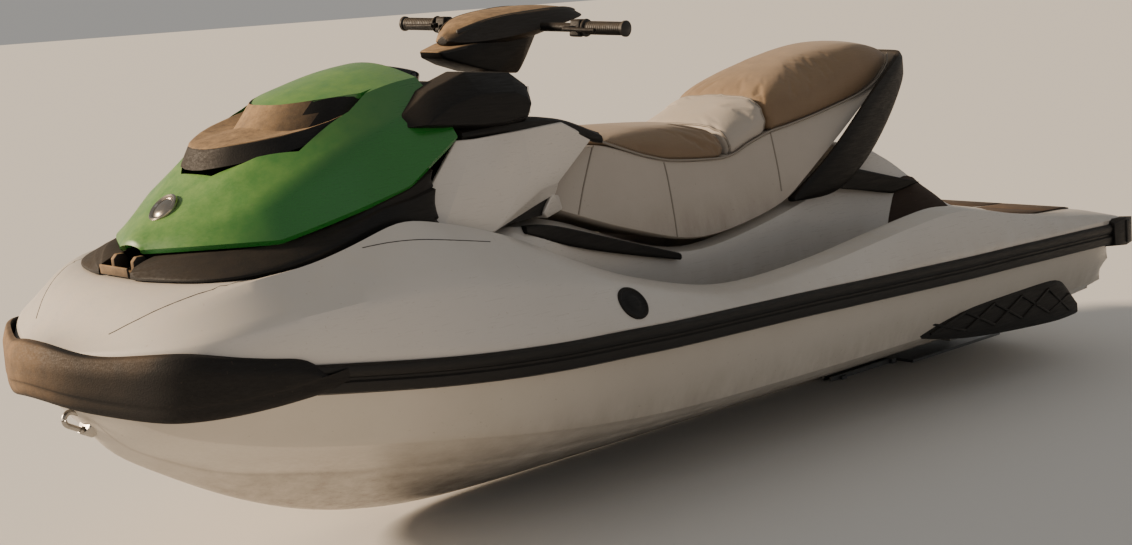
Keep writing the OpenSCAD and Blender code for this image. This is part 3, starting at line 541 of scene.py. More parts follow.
# marine vinyl, grey white: the same cloth, grubby along its lower edge
greyVinyl = mouldedFinish("grey_marine_vinyl", {
    "colour": "#b5aea6", "second": "#a49c93", "driftSize": 180, "dustAndSunColour": "#c4b08f", "dustAndSun": 0.3,
    "roughness": (0.48, 0.62),
    "grainKind": "ShaderNodeTexVoronoi", "grainSize": 3.2, "grain": 0.25, "scuff": 0.1, "wave": 0.35,
    "waveSize": 90, "dirt": 0.5,
    "dirtBand": (540, 680), "dirtColour": "#6e5f4c", "specks": 0.2})
# deck foam: closed-cell mat, dark brown and matte, sand caught in its pores, and a paler top that is partly
# dust and partly painted sunlight
deckFoam = mouldedFinish("ribbed_deck_foam", {
    "colour": "#2a1f19", "second": "#38291f", "dustAndSunColour": "#7b6247", "dustAndSun": 0.5, "dustAndSunStart": 0.5,
    "roughness": (0.8, 0.95),
    "grainSize": 2.0, "grain": 0.6, "scuff": 0.2, "specks": 0.3, "dirtColour": "#7d6648"})
# grip rubber: soft black, polished by hands
gripRubber = mouldedFinish("grip_rubber", {
    "colour": "#101010", "second": "#191817", "dustAndSun": 0.2, "roughness": (0.4, 0.7), "grainSize": 1.4,
    "grain": 0.2})
# piping: smooth grey welt that catches a thin highlight
pipingVinyl = mouldedFinish("piping_vinyl",
                            {"colour": "#8f887f", "second": "#7c756c", "dustAndSun": 0.2, "roughness": (0.4, 0.55),
                             "grain": 0.05})
threadFinish = mouldedFinish("polyester_thread",
                             {"colour": "#4a4038", "second": "#5a4e42", "dustAndSun": 0.1, "roughness": (0.6, 0.75),
                              "grainSize": 0.8})
castAlloy = metalFinish("cast_alloy",
                        {"colour": "#8d9093", "stain": "#6f7070", "stainSize": 60, "castSize": 2.0,
                         "roughness": (0.38, 0.6), "bump": 0.3})
brushedSteel = metalFinish("brushed_stainless",
                           {"colour": "#b4b2ae", "stain": "#8f8b84", "stainSize": 30, "castSize": 1.2,
                            "roughness": (0.22, 0.42), "bump": 0.15})
wornChrome = metalFinish("worn_chrome",
                         {"colour": "#b8b4ad", "stain": "#8b7f70", "stainSize": 14, "castSize": 2.5,
                          "roughness": (0.1, 0.32), "bump": 0.1})
enginePaint = metalFinish("painted_casting",
                          {"colour": "#3a3b3d", "stain": "#2a2a2b", "stainSize": 80, "castSize": 3.0,
                           "roughness": (0.5, 0.7), "bump": 0.4, "metallic": 0.2})
mirrorGlass = metalFinish("silvered_glass",
                          {"colour": "#c8cdd2", "stain": "#b4b6b6", "stainSize": 40, "castSize": 30,
                           "roughness": (0.03, 0.12), "bump": 0.02})
displayGlass = mouldedFinish("display_glass",
                             {"colour": "#0c1014", "second": "#12171c", "dustAndSun": 0.15,
                              "roughness": (0.08, 0.2), "grain": 0.0, "scuff": 0.02})
print("materials ready")

# lines shared by the hull and the deck

# [y, keel z, strake x, strake z, chine x, chine z, edge x, edge z]
hullLines = [
    [-1648, 500, 6, 503, 14, 510, 40, 540], [-1618, 470, 22, 478, 70, 488, 130, 534],
    [-1580, 418, 45, 430, 150, 452, 262, 528],
    [-1526, 324, 62, 345, 215, 400, 352, 520], [-1440, 268, 85, 300, 262, 366, 420, 512],
    [-1330, 200, 112, 245, 312, 336, 462, 500],
    [-1214, 134, 165, 224, 385, 320, 500, 488], [-1060, 66, 262, 206, 450, 303, 543, 472],
    [-900, 22, 352, 196, 500, 285, 578, 460],
    [-700, 0, 402, 178, 526, 258, 596, 448], [-400, 0, 430, 172, 538, 228, 600, 436],
    [0, 0, 440, 170, 545, 222, 600, 427],
    [500, 0, 440, 168, 546, 220, 600, 410], [1000, 0, 440, 168, 544, 220, 598, 398],
    [1400, 0, 438, 168, 534, 220, 586, 386],
    [1592, 0, 434, 168, 516, 220, 566, 378]]
# [y, edge, rail top, outer crease, inner crease, well floor outside, well floor inside, middle top,
# centre z, tub z]
deckLines = [
    [-1648, [40, 540], [42, 556], [34, 568], [26, 572], [20, 574], [14, 576], [8, 578], 580, 540],
    [-1600, [200, 531], [204, 552], [170, 574], [130, 582], [95, 586], [60, 589], [30, 591], 592, 531],
    [-1540, [342, 522], [346, 552], [322, 584], [240, 616], [180, 632], [120, 642], [60, 648], 650, 522],
    [-1477, [400, 516], [404, 552], [392, 598], [300, 648], [230, 672], [150, 684], [70, 690], 690, 516],
    [-1400, [442, 508], [446, 550], [438, 610], [338, 684], [300, 690], [200, 690], [100, 690], 690, 508],
    [-1330, [465, 500], [470, 546], [460, 620], [362, 700], [334, 690], [240, 690], [120, 690], 690, 500],
    [-1228, [497, 489], [502, 530], [486, 630], [376, 708], [345, 690], [240, 690], [120, 690], 690, 489],
    [-1100, [534, 475], [538, 517], [508, 640], [386, 742], [350, 690], [240, 690], [120, 690], 690, 475],
    [-1007, [558, 467], [562, 507], [516, 642], [388, 774], [352, 690], [240, 690], [120, 690], 690, 467],
    [-925, [575, 461], [579, 499], [521, 636], [382, 760], [350, 690], [240, 690], [120, 690], 690, 461],
    [-800, [590, 453], [594, 489], [526, 620], [372, 728], [345, 690], [240, 690], [120, 690], 690, 453],
    [-690, [596, 447], [600, 482], [530, 602], [385, 690], [345, 690], [240, 690], [120, 690], 690, 447],
    [-600, [598, 445], [602, 479], [532, 586], [420, 640], [370, 640], [310, 686], [290, 690], 690, 445],
    [-500, [600, 440], [604, 474], [536, 560], [432, 600], [412, 420], [290, 420], [284, 690], 690, 378],
    [-420, [600, 436], [604, 470], [539, 540], [440, 568], [420, 315], [240, 310], [270, 682], 682, 262],
    [-300, [600, 433], [604, 466], [543, 508], [448, 532], [432, 308], [228, 308], [246, 645], 645, 258],
    [-126, [600, 429], [604, 461], [550, 476], [462, 488], [446, 305], [225, 305], [242, 582], 582, 258],
    [50, [600, 425], [604, 457], [562, 488], [476, 494], [450, 305], [225, 305], [242, 530], 530, 258],
    [250, [600, 418], [604, 452], [565, 506], [484, 512], [450, 305], [225, 305], [243, 556], 556, 258],
    [440, [600, 412], [604, 447], [566, 530], [482, 538], [450, 305], [226, 305], [246, 594], 594, 258],
    [660, [600, 405], [604, 443], [566, 552], [474, 560], [444, 308], [230, 310], [206, 632], 640, 258],
    [767, [600, 402], [603, 441], [565, 557], [466, 566], [436, 316], [236, 324], [192, 684], 696, 262],
    [850, [600, 400], [602, 440], [565, 548], [462, 558], [430, 334], [244, 345], [188, 722], 738, 288],
    [940, [599, 399], [601, 439], [564, 532], [460, 540], [426, 372], [256, 384], [184, 700], 714, 330],
    [1060, [597, 396], [599, 436], [563, 506], [458, 510], [424, 430], [280, 438], [182, 622], 634, 388],
    [1183, [593, 392], [595, 433], [561, 486], [456, 486], [424, 452], [300, 452], [178, 540], 552, 392],
    [1300, [589, 389], [591, 430], [560, 468], [454, 468], [424, 454], [300, 454], [172, 470], 474, 389],
    [1462, [582, 383], [584, 426], [556, 444], [450, 448], [424, 447], [300, 448], [160, 449], 450, 383],
    [1600, [572, 377], [574, 420], [546, 430], [446, 440], [420, 441], [300, 442], [150, 443], 444, 377],
    [1658, [560, 374], [562, 412], [534, 418], [440, 427], [410, 429], [300, 432], [150, 434], 435, 374]]
partingLine = [[row[0], row[1][0], row[1][1], row[2][0]] for row in deckLines]

hullShape = {"strakeStep": 9, "chineStep": 6, "sideBulge": 5, "seamGap": 3, "levels": 2}
deckShape = {"sideBulge": 5, "tubX": (212, 488), "widest": 600, "levels": 2}
bayBox = ((-190, -320, 112), (190, 400, 812))
binBox = ((-190, -1330, 360), (190, -930, 890))
tunnelBox = ((-132, 1130, -1), (132, 2030, 246))
ductShape = [(820, -1), (1135, -1), (1135, 205), (1090, 205)]
binMouth = ((-190, -1330, 680), (190, -930, 990))
hingeWell = ((-66, -1474, 680), (66, -1358, 810))
glassPocket = ((222, -522, 945), (280, -480, 1007))
gloveboxBox = ((-95, -560, 812), (95, -420, 904))
# hinge lines [y, z] and the pin that both share
seatHinge = (-425, 760)
lidHinge = (-437, 920)
hingePin = {"radius": 4.9, "sides": 20}


def buildHull(shape):
    rows = []
    for y, keel, sx, sz, cx, cz, ex, ez in hullLines:
        top = ez - shape["seamGap"]
        k = min(1, sx / 200)
        middle = mix((cx, cz), (ex, top), 0.5)
        rows.append([y, [(0, keel), mix((0, keel), (sx, sz), 0.5), (sx - 14 * k, sz - 2 * k),
                         (sx, sz + shape["strakeStep"] * k),
                         mix((sx, sz), (cx, cz), 0.55), (cx - 20 * k, cz - 4 * k),
                         (cx, cz + shape["chineStep"] * k),
                         (middle[0] + shape["sideBulge"] * k, middle[1] - 2), (ex, top), (0, top)]])
    hull = symmetric("hull_shell", rows, {0: 0.35, 2: 0.7, 3: 0.7, 5: 0.5, 6: 0.9, 8: 1, 9: 0}, endCrease=0.9)
    subdivide(hull, shape["levels"])
    tubs = []
    for side in (-1, 1):
        under = [(y, z - 3) for y, z in ((row[0], row[9]) for row in deckLines) if -650 < y < 1200]
        x0, x1 = sorted((side * 210, side * 490))
        tubs.append(prism("tub", [(under[0][0], 600)] + under + [(under[-1][0], 600)], x0, x1))
    duct = prism("duct", ductShape, -75, 75)
    cut(hull, block("bay", *bayBox), block("bin", *binBox), *tubs, block("tunnel", *tunnelBox), duct)
    return hull


def buildDeck(shape):
    a, b = shape["tubX"]
    rows = []
    for row in deckLines:
        y, z, tub = row[0], row[1][1], row[9]
        k = min(1, row[1][0] / shape["widest"])
        side = mix(row[2], row[3], 0.5)
        rows.append([y, [(0, z), (a * k, z), (a * k + 1, tub), (b * k - 1, tub), (b * k, z), tuple(row[1]),
                         tuple(row[2]),
                         (side[0] + shape["sideBulge"] * k, side[1]), tuple(row[3]), tuple(row[4]),
                         tuple(row[5]), tuple(row[6]),
                         tuple(row[7]), (0, row[8])]])
    deck = symmetric("deck_shell", rows,
                     {1: 1, 2: 1, 3: 1, 4: 1, 5: 1, 6: 0.7, 8: 0.86, 9: 0.8, 10: 0.45, 11: 0.45, 12: 0.4},
                     endCrease=0.9)
    subdivide(deck, shape["levels"])
    cut(deck, block("bay", *bayBox), block("bin", *binBox))
    return deck


place(buildHull(hullShape), gelcoatHull, "craft", "hull_white", "lower_hull", sharp=28)
deckShell = place(buildDeck(deckShape), gelcoatDeck, "craft", "deck_white", "deck", sharp=28)
print("hull and deck ready")

# rails and bumpers

# profile of the rail from its inner lower corner, [out, up] from the parting line
railShape = {"profile": [(-12, -31), (4, -31), (11, -27), (13, -20), (13, -7), (8, -3), (8, 2), (12, 6),
                         (14, 16), (12, 25), (5, 30), (-12, 31)],
             "y": (-1306, 1592), "steps": 60}


def railX(y):
    return max(atY(partingLine, y, 1), atY(partingLine, y, 3))


def buildRails(shape):
    y0, y1 = shape["y"]
    rings = []
    for i in range(shape["steps"] + 1):
        y = y0 + (y1 - y0) * i / shape["steps"]
        x, z = (sum(f(y + d) for d in (-60, 0, 60)) / 3 for f in (railX, lambda v: atY(partingLine, v, 2)))
        rings.append([(x + out, y, z + up) for out, up in shape["profile"]])
    return bothSides(loft("rub_rails_skin", rings))


place(buildRails(railShape), rubberRail, "craft", "trim_black", "rub_rails", sharp=40)

# plan of the bow bumper, then its heights: [x, y, low, face crease, high]
bumperLines = [
    (0, -1658, 474, 552, 590), (60, -1654, 470, 550, 588), (122, -1640, 460, 546, 576),
    (190, -1614, 452, 543, 568), (262, -1586, 446, 543, 574),
    (330, -1556, 442, 545, 580), (372, -1518, 444, 546, 580), (408, -1476, 448, 540, 570),
    (438, -1418, 454, 532, 560), (456, -1366, 460, 526, 552),
    (474, -1316, 468, 516, 546), (482, -1276, 474, 492, 502), (486, -1248, 480, 486, 490)]
bumperShape = {"reach": 26, "inner": -8, "ridge": 4, "levels": 2}


def bumperEdge(x, y, grow):
    t = min(x / 478, 1)
    return x + grow * t, y - grow * (1 - t)


def buildBowBumper(shape):
    inner, out, ridge = shape["inner"], shape["reach"], shape["ridge"]
    rings = []
    for side, lines in ((-1, bumperLines[:0:-1]), (1, bumperLines)):
        for x, y, low, crease, high in lines:
            ring = []
            for grow, z in ((inner, low + 12), (out - 12, low), (out - 3, low + 9), (out - 3, low + 30),
                            (out + ridge - 4, low + 36), (out - 1, crease), (out - 16, high - 4),
                            (inner, high)):
                px, py = bumperEdge(x, y, grow)
                ring.append((side * px, py, z))
            rings.append(ring)
    bumper = loft("bow_bumper_skin", rings, {1: 0.5, 3: 0.7, 4: 0.7, 5: 0.85, 6: 0.4, 7: 1, 0: 1},
                  endCrease=0.8)
    return subdivide(bumper, shape["levels"])


place(buildBowBumper(bumperShape), bumperRubber, "craft", "bumper_rubber", "bow_bumper", sharp=30)


def buildSternBumpers():
    lower = [(560, 1540, 340), (600, 1536, 346), (602, 1600, 340), (590, 1652, 342), (560, 1680, 350),
             (470, 1680, 350), (440, 1683, 354), (446, 1640, 352)]
    upper = [(560, 1540, 424), (597, 1536, 414), (600, 1600, 424), (588, 1654, 420), (562, 1680, 408),
             (470, 1680, 408), (440, 1683, 400), (446, 1640, 410)]
    body = convex("stern_bumpers_skin", [lower + upper], width=7, segments=3)
    strap = convex("strap", [[(596, 1596, 344), (606, 1597, 350), (603, 1622, 350), (592, 1626, 344),
                              (594, 1596, 422), (604, 1597, 416),
                              (601, 1622, 414), (590, 1626, 420)]], width=3)
    return bothSides(join(body, strap))


place(buildSternBumpers(), rubberRail, "craft", "bumper_rubber", "stern_bumpers", sharp=35)
print("rails and bumpers ready")

# hood, its surround and the scoop

# [y, edge, side, shoulder, centre z]
hoodLines = [
    [-1414, [50, 744], [36, 754], [18, 760], 762], [-1360, [176, 752], [118, 776], [56, 790], 795],
    [-1300, [246, 755], [176, 799], [92, 828], 838],
    [-1234, [290, 754], [226, 829], [122, 878], 892], [-1150, [318, 776], [258, 870], [150, 932], 958],
    [-1030, [340, 806], [284, 918], [176, 1002], 1028],
    [-930, [346, 832], [290, 948], [194, 1024], 1056], [-850, [337, 880], [286, 968], [198, 1044], 1080],
    [-780, [330, 920], [284, 980], [198, 1050], 1088]]
# crease of each column from the edge in, and of each row from the nose back
hoodShape = {"wall": 12, "lip": 10, "levels": 2, "sharpColumns": {1: 1, 2: 0.9, 3: 1},
             "sharpRows": {1: 0.7, 4: 0.85, 7: 0.85, 9: 0.9}, "softRow": 0.1}
# scoop stations from the centre out: low front edge, rim, floor behind the rim, top edge under the
# visor, each [x, y, z]
scoopLines = [
    [(0, -1252, 886), (0, -1228, 934), (0, -1112, 968), (0, -1066, 1014)],
    [(62, -1256, 892), (60, -1232, 938), (58, -1106, 962), (60, -1064, 1012)],
    [(130, -1190, 904), (126, -1168, 948), (112, -1070, 952), (122, -1008, 1020)],
    [(206, -1115, 922), (200, -1090, 962), (160, -1004, 968), (166, -950, 1026)],
    [(212, -985, 966), (206, -970, 990), (176, -948, 986), (184, -922, 1018)],
    [(188, -903, 1004), (190, -900, 1012), (184, -896, 1006), (186, -894, 1016)]]


def scoopLoft(name, section, creases=None):
    rings = [[(side * x, y, z) for x, y, z in section(*station)]
             for side, stations in ((-1, scoopLines[:0:-1]), (1, scoopLines)) for station in stations]
    return loft(name, rings, creases)


def mouthSection(low, rim, floor, top):
    # the opening cut through the hood
    return [low, (rim[0], rim[1], rim[2] + 60), (top[0], top[1] - 30, top[2] + 60), top,
            (top[0], top[1] + 6, top[2] - 70), (low[0], low[1] + 40, low[2] - 50)]


def insertSection(low, rim, floor, top):
    return [low, (rim[0], rim[1] - 2, rim[2] - 6), rim, mix(rim, floor, 0.12), floor, top,
            (top[0], top[1] + 8, top[2] - 4),
            (floor[0], floor[1] + 6, floor[2] - 14), (low[0], low[1] + 16, low[2] - 6)]


def buildHood(shape):
    rows = []
    for y, edge, side, shoulder, centre in hoodLines:
        rows.append([(edge[0] - 5, y, edge[1] - shape["lip"]), (edge[0], y, edge[1]), (side[0], y, side[1]),
                     (shoulder[0], y, shoulder[1]),
                     (shoulder[0] * 0.5, y, shoulder[1] + (centre - shoulder[1]) * 0.72), (0, y, centre)])
    rows.insert(0, [(x * 0.9, y - 6, 742 + (z - 742) * 0.45) for x, y, z in rows[0]])
    rings = [row + [(-x, y, z) for x, y, z in row[-2::-1]] for row in rows]
    n = len(rings[0])
    faces = [(r * n + i, r * n + i + 1, (r + 1) * n + i + 1, (r + 1) * n + i) for r in range(len(rings) - 1)
             for i in range(n - 1)]
    hood = meshObject("hood_skin", [p for ring in rings for p in ring], faces)
    with editing(hood) as bm:
        layer = bm.edges.layers.float.new("crease_edge")
        for edge in bm.edges:
            a, b = (v.index for v in edge.verts)
            if abs(a - b) == n:
                edge[layer] = shape["sharpColumns"].get(min(a % n, n - 1 - a % n), 0)
            elif a // n == b // n:
                edge[layer] = shape["sharpRows"].get(a // n, shape["softRow"])
        bm.normal_update()
        if sum(f.normal.z for f in bm.faces) < 0:
            bmesh.ops.reverse_faces(bm, faces=bm.faces)
    subdivide(hood, shape["levels"], shape["wall"])
    return cut(hood, scoopLoft("scoopCutter", mouthSection))


place(buildHood(hoodShape), greenPlastic, "hood", "hood_green", "hood", sharp=24)

def buildScoop():
    return subdivide(scoopLoft("hood_scoop", insertSection, {0: 0.8, 1: 0.6, 3: 0.6, 4: 0.8, 5: 0.8}), 1)


def splitSunlitFaces(obj, material, limit):
    # painted light: faces that look up keep the finish with the dusty painted sunlight, the rest take the
    # darker plain one
    obj.data.materials.append(material)
    for face in obj.data.polygons:
        if face.normal.z < limit:
            face.material_index = 1
    return obj


# painted light: the scoop's faces turned up get a tan that is partly dust and partly painted sunlight, the
# rest stay plain black
splitSunlitFaces(place(buildScoop(), dustAndSunlitMoulding, "hood", "trim_black", "hood_insert", sharp=28), blackMoulding,
        0.5)

badgeShape = {"centre": (0, -1330, 816), "axis": (0, -0.67, 0.74), "radius": 38}


def buildHoodBadge(shape):
    r = shape["radius"]
    ring = [(r * 0.2, -4), (r - 1, -4), (r, 2), (r - 1, 6), (r - 4, 8), (r - 8, 7), (r - 10, 4), (r - 13, 4),
            (r * 0.55, 7), (r * 0.3, 8.5), (1, 9)]
    return disc("hood_badge_skin", shape["centre"], shape["axis"], ring)


place(buildHoodBadge(badgeShape), wornChrome, "hood", "badge_chrome", "hood_badge", sharp=40)

surroundLines = [
    [-1462, 90, 692, 60, 712], [-1430, 212, 692, 110, 730], [-1377, 300, 694, 188, 742],
    [-1300, 342, 704, 258, 746], [-1228, 352, 710, 294, 750],
    [-1100, 358, 742, 322, 780], [-1007, 362, 774, 342, 812], [-930, 358, 762, 346, 830],
    [-862, 348, 744, 340, 868]]


def buildSurround():
    rows = []
    for y, fx, fz, tx, tz in surroundLines:
        step = mix((fx, fz), (tx, tz - 6), 0.62)
        rows.append([y, [(0, 690), (fx - 6, 690), (fx + 2, fz - 2), (fx + 1, fz + 4), (step[0] + 3, step[1]),
                         (step[0] - 5, step[1] + 3),
                         (tx + 2, tz - 9), (tx - 8, tz - 5), (0, tz - 8)]])
    body = symmetric("hood_surround_skin", rows, {1: 1, 2: 0.6, 3: 0.4, 4: 0.8, 5: 0.8, 6: 0.8, 7: 0.6},
                     endCrease=0.8)
    subdivide(body, 2)
    return cut(body, block("binMouth", *binMouth), block("hingeWell", *hingeWell))


place(buildSurround(), blackMoulding, "craft", "trim_black", "hood_surround", sharp=30)


def buildHinge():
    base = across("hood_hinge_skin", -54, 54, ((-1460, 691), (-1460, 696), (-1376, 691), (-1376, 696)), 2)
    ear = ((-1440, 691), (-1441, 722), (-1432, 731), (-1414, 731), (-1408, 722), (-1408, 691))
    ears = [across("ear", s * 34, s * 48, ear, 2) for s in (-1, 1)]
    plate = across("plate", -58, 58, ((-1462, 692), (-1464, 712), (-1460, 713), (-1456, 692)), 1.5)
    return join(base, plate, *ears)


place(buildHinge(), dustAndSunlitMoulding, "craft", "trim_black", "hood_hinge", sharp=30)

# mirrors

mirrorShape = {"foot": [(-908, 946), (-880, 978), (-809, 1022), (-700, 1056), (-560, 1044), (-512, 1012),
                        (-500, 984), (-516, 930), (-600, 914), (-700, 916)],
               "inner": 206, "middle": 272, "outer": 326}


def buildMirror(shape):
    points = [(shape["inner"], y, z) for y, z in shape["foot"]]
    points += [(shape["middle"], y * 0.98 - 18, (z - 975) * 0.98 + 975) for y, z in shape["foot"]]
    points += [(shape["outer"], y * 0.74 - 182, (z - 975) * 0.5 + 966) for y, z in shape["foot"]]
    pod = convex("mirror_port_skin", [points], width=4, segments=3, angle=10)
    return cut(pod, block("glassPocket", *glassPocket))


def mirrored(obj, name):
    bothSides(obj)
    other = obj.copy()
    other.data = obj.data.copy()
    other.name = name
    scene.collection.objects.link(other)
    for part, keep in ((obj, 1), (other, -1)):
        with editing(part) as bm:
            bmesh.ops.delete(bm, geom=[v for v in bm.verts if v.co.x * keep < 0], context="VERTS")
    return obj, other


mirrors = mirrored(buildMirror(mirrorShape), "mirror_starboard_skin")
for mirror, node in zip(mirrors, ("mirror_port", "mirror_starboard")):
    place(mirror, blackMoulding, "hood", "trim_black", node, sharp=12)
print("hood group ready")

# white side cowls and the black console between them

# port cowl: a sloping front strip, the main panel and a raised wedge that falls from the knee strip to
# the deck
cowlPoints = {
    "stripLow": (338, -925, 758), "stripTop": (312, -772, 910), "edgeTop": (328, -728, 909),
    "edgeLow": (350, -872, 697), "toeFront": (342, -915, 700),
    "topMid": (300, -560, 911), "topRear": (263, -403, 912), "wedgeMid": (304, -548, 806),
    "wedgeFoot": (342, -700, 697), "tail": (231, -274, 860),
    "heel": (262, -424, 770), "elbow": (290, -503, 766), "underHeel": (250, -425, 742),
    "underElbow": (276, -505, 730), "underFoot": (322, -692, 692)}
cowlFaces = [("toeFront", "stripLow", "stripTop", "edgeTop", "edgeLow"),
             ("edgeLow", "edgeTop", "topMid", "wedgeMid", "wedgeFoot"),
             ("topMid", "topRear", "wedgeMid"), ("topRear", "tail", "heel", "elbow", "wedgeMid"),
             ("wedgeMid", "elbow", "wedgeFoot"),
             ("heel", "underHeel", "underElbow", "elbow"), ("elbow", "underElbow", "underFoot", "wedgeFoot")]
cowlToe = [(262, -446, 746), (276, -492, 706), (262, -468, 690), (236, -392, 700), (238, -404, 736),
           (222, -446, 746), (222, -480, 690)]
cowlShape = {"wall": 14, "edge": 3.5, "edgeAngle": 8}


def buildCowl(shape):
    names = list(cowlPoints)
    faces = [tuple(names.index(n) for n in face) for face in cowlFaces]
    cowl = meshObject("side_cowl_port_skin", list(cowlPoints.values()), faces)
    with editing(cowl) as bm:
        bmesh.ops.recalc_face_normals(bm, faces=bm.faces)
        if sum(f.normal.x * f.calc_area() for f in bm.faces) < 0:
            bmesh.ops.reverse_faces(bm, faces=bm.faces)
    bake(modify(cowl, "SOLIDIFY", thickness=shape["wall"] / 1000, offset=-1))
    return join(roundEdges(cowl, shape["edge"], 3, shape["edgeAngle"]), convex("toe", [cowlToe], width=4))


cowls = mirrored(buildCowl(cowlShape), "side_cowl_starboard_skin")
for cowl, node in zip(cowls, ("side_cowl_port", "side_cowl_starboard")):
    place(cowl, gelcoatDeck, "craft", "deck_white", node, sharp=14)

consoleLines = [[-765, 194, 1030, 308], [-660, 198, 1034, 308], [-560, 198, 1012, 282], [-470, 194, 958, 262],
                [-444, 190, 936, 254]]
kneeLines = [[-760, 200, 320, 908, 930], [-600, 200, 302, 908, 936], [-446, 200, 266, 884, 930],
             [-362, 206, 252, 878, 912], [-280, 212, 236, 852, 882], [-236, 214, 228, 842, 866]]


def buildConsole():
    rows = [[y, [(0, 700), (low, 700), (low - 8, 880), (x + 6, 906), (x, z - 22), (x - 26, z - 8),
                 (x - 62, z), (0, z + 2)]]
            for y, x, z, low in consoleLines]
    body = symmetric("console_skin", rows, {1: 1, 2: 0.8, 3: 0.8, 4: 0.5, 6: 0.4}, endCrease=0.85)
    subdivide(body, 2)
    cut(body, block("glovebox", *gloveboxBox))
    rings = [[(a, y, low), (b - 4, y, low), (b, y, low + 8), (b - 3, y, high - 6), (b - 14, y, high),
              (a, y, high + 2)] for y, a, b, low, high in kneeLines]
    strips = loft("kneeStrips", rings, {1: 0.6, 2: 0.4, 3: 0.6, 4: 0.4, 0: 1, 5: 1}, endCrease=0.7)
    bothSides(subdivide(strips, 2))
    lowEar = ((-452, 750), (-430, 748), (-417, 752), (-413, 762), (-420, 771), (-452, 772))
    highEar = ((-455, 912), (-437, 912), (-430, 916), (-430, 924), (-437, 928), (-455, 928))
    ears = [across("ear", s * x, s * (x + 10), ear, 2) for s in (-1, 1)
            for x, ear in ((40, lowEar), (100, highEar))]
    return join(body, strips, *ears)


place(buildConsole(), blackMoulding, "craft", "trim_black", "console", sharp=28)


gaugeShape = {"centre": (0, -700, 1033), "axis": (0, 0.2419, 0.9703)}


def buildGauge(shape):
    # hooded round display with a raised bezel, looking at the rider
    profile = [(4, 0), (62, 0), (66, 4), (66, 22), (64, 27), (60, 29), (57, 28), (55, 25.5), (52, 25),
               (4, 25.5)]
    return disc("gauge_skin", shape["centre"], shape["axis"], profile)


place(buildGauge(gaugeShape), displayGlass, "craft", "gauge_glass", "gauge", sharp=40)


def buildLid():
    panel = ((-436, 807), (-436, 918), (-428, 918), (-426, 911), (-426, 814), (-429, 807))
    lid = across("glovebox_lid_skin", -97, 97, panel, 2.5)
    pull = across("pull", -30, 30, ((-428, 823), (-421.5, 826), (-421.5, 838), (-428, 841)), 2)
    rib = ((-428, 820), (-424, 823), (-424, 900), (-428, 903))
    ribs = [across("rib", s * 60 - 3, s * 60 + 3, rib, 1.5) for s in (-1, 1)]
    barrel = rod("barrel", 92, lidHinge, 8)
    pin = rod("pin", 107, lidHinge, **hingePin)
    return join(lid, pull, barrel, pin, *ribs)


place(buildLid(), blackMoulding, "glovebox_lid", "trim_black", "glovebox_lid", sharp=30)
print("cowls and console ready")

# steering, modelled dead ahead and then turned to where it is parked

steering = {"column": (0, -400, 1010), "rake": 25, "parked": 6, "barY": -316, "barZ": 1138, "barWidth": 760,
            "barRadius": 11, "postRadius": 20}


def turnSteering(obj):
    rake, parked = math.radians(steering["rake"]), math.radians(steering["parked"])
    centre = Vector(steering["column"]) / 1000
    tilt = Matrix.Rotation(-rake, 4, "X")
    whole = Matrix.Translation(
        centre) @ tilt @ Matrix.Rotation(parked, 4, "Z") @ tilt.inverted() @ Matrix.Translation(-centre)
    obj.data.transform(whole)
    return obj


def buildNeck():
    y, z, rake = steering["barY"], steering["barZ"], math.radians(steering["rake"])
    column = [Vector(steering["column"]) + Vector((0, math.sin(rake), math.cos(rake))) * h for h in (-30, 60)]
    post = sweep("steering_neck_skin", [tuple(p) for p in column], steering["postRadius"], 32)
    rows = [(34, -284, -42), (44, -270, -60), (62, -206, -30), (66, -204, -82), (80, -120, -20),
            (72, -124, -104), (86, -20, -14), (62, -34, -112),
            (58, 42, -8), (42, 36, -40)]
    shroud = convex("shroud", [[(side * x, y + dy, z + dz) for x, dy, dz in rows for side in (-1, 1)]],
                    width=7, segments=3, angle=12)
    return turnSteering(join(post, shroud))


# painted light: the neck's faces turned up get a tan that is partly dust and partly painted sunlight, the
# rest stay plain black
splitSunlitFaces(place(buildNeck(), dustAndSunlitMoulding, "handlebar", "trim_black", "steering_neck", sharp=25),
        blackMoulding, 0.25)

# pad rows from the nose back: [y from the bar, half width at the waist, half width on top, waist z,
# top z], from the bar's height
padLines = [
    [-236, 16, 8, -22, -10], [-216, 48, 30, -26, 4], [-160, 82, 60, -24, 26], [-90, 104, 76, -16, 36],
    [0, 120, 90, -2, 42], [70, 126, 96, 8, 45],
    [120, 124, 92, 14, 43], [150, 114, 82, 20, 37], [162, 96, 62, 24, 31]]
# underside of the pad, [y from the bar, z from the bar]
padUnder = [[-236, -30], [-216, -42], [-130, -54], [0, -34], [70, -14], [162, 12]]


def buildBarPad():
    y0, z0 = steering["barY"], steering["barZ"]
    rows = []
    for y, a, b, low, high in padLines:
        under, side = atY(padUnder, y, 1), mix((a, low), (b, high), 0.55)
        rows.append([y0 + y, [(0, z0 + under), (a * 0.62, z0 + under + 2), (a, z0 + low),
                              (side[0] + 3, z0 + side[1]),
                              (b, z0 + high - 2), (b * 0.55, z0 + high + 2), (0, z0 + high + 4)]])
    pad = symmetric("handlebar_pad_skin", rows, {2: 0.7, 4: 0.45}, endCrease=0.5)
    return turnSteering(subdivide(pad, 2))


pad = place(buildBarPad(), dustAndSunlitMoulding, "handlebar", "pad_brown", "handlebar_pad", sharp=30)
# painted light: the pad's faces turned up get a tan that is partly dust and partly painted sunlight, the rest
# stay plain black
splitSunlitFaces(pad, blackMoulding, 0.12)


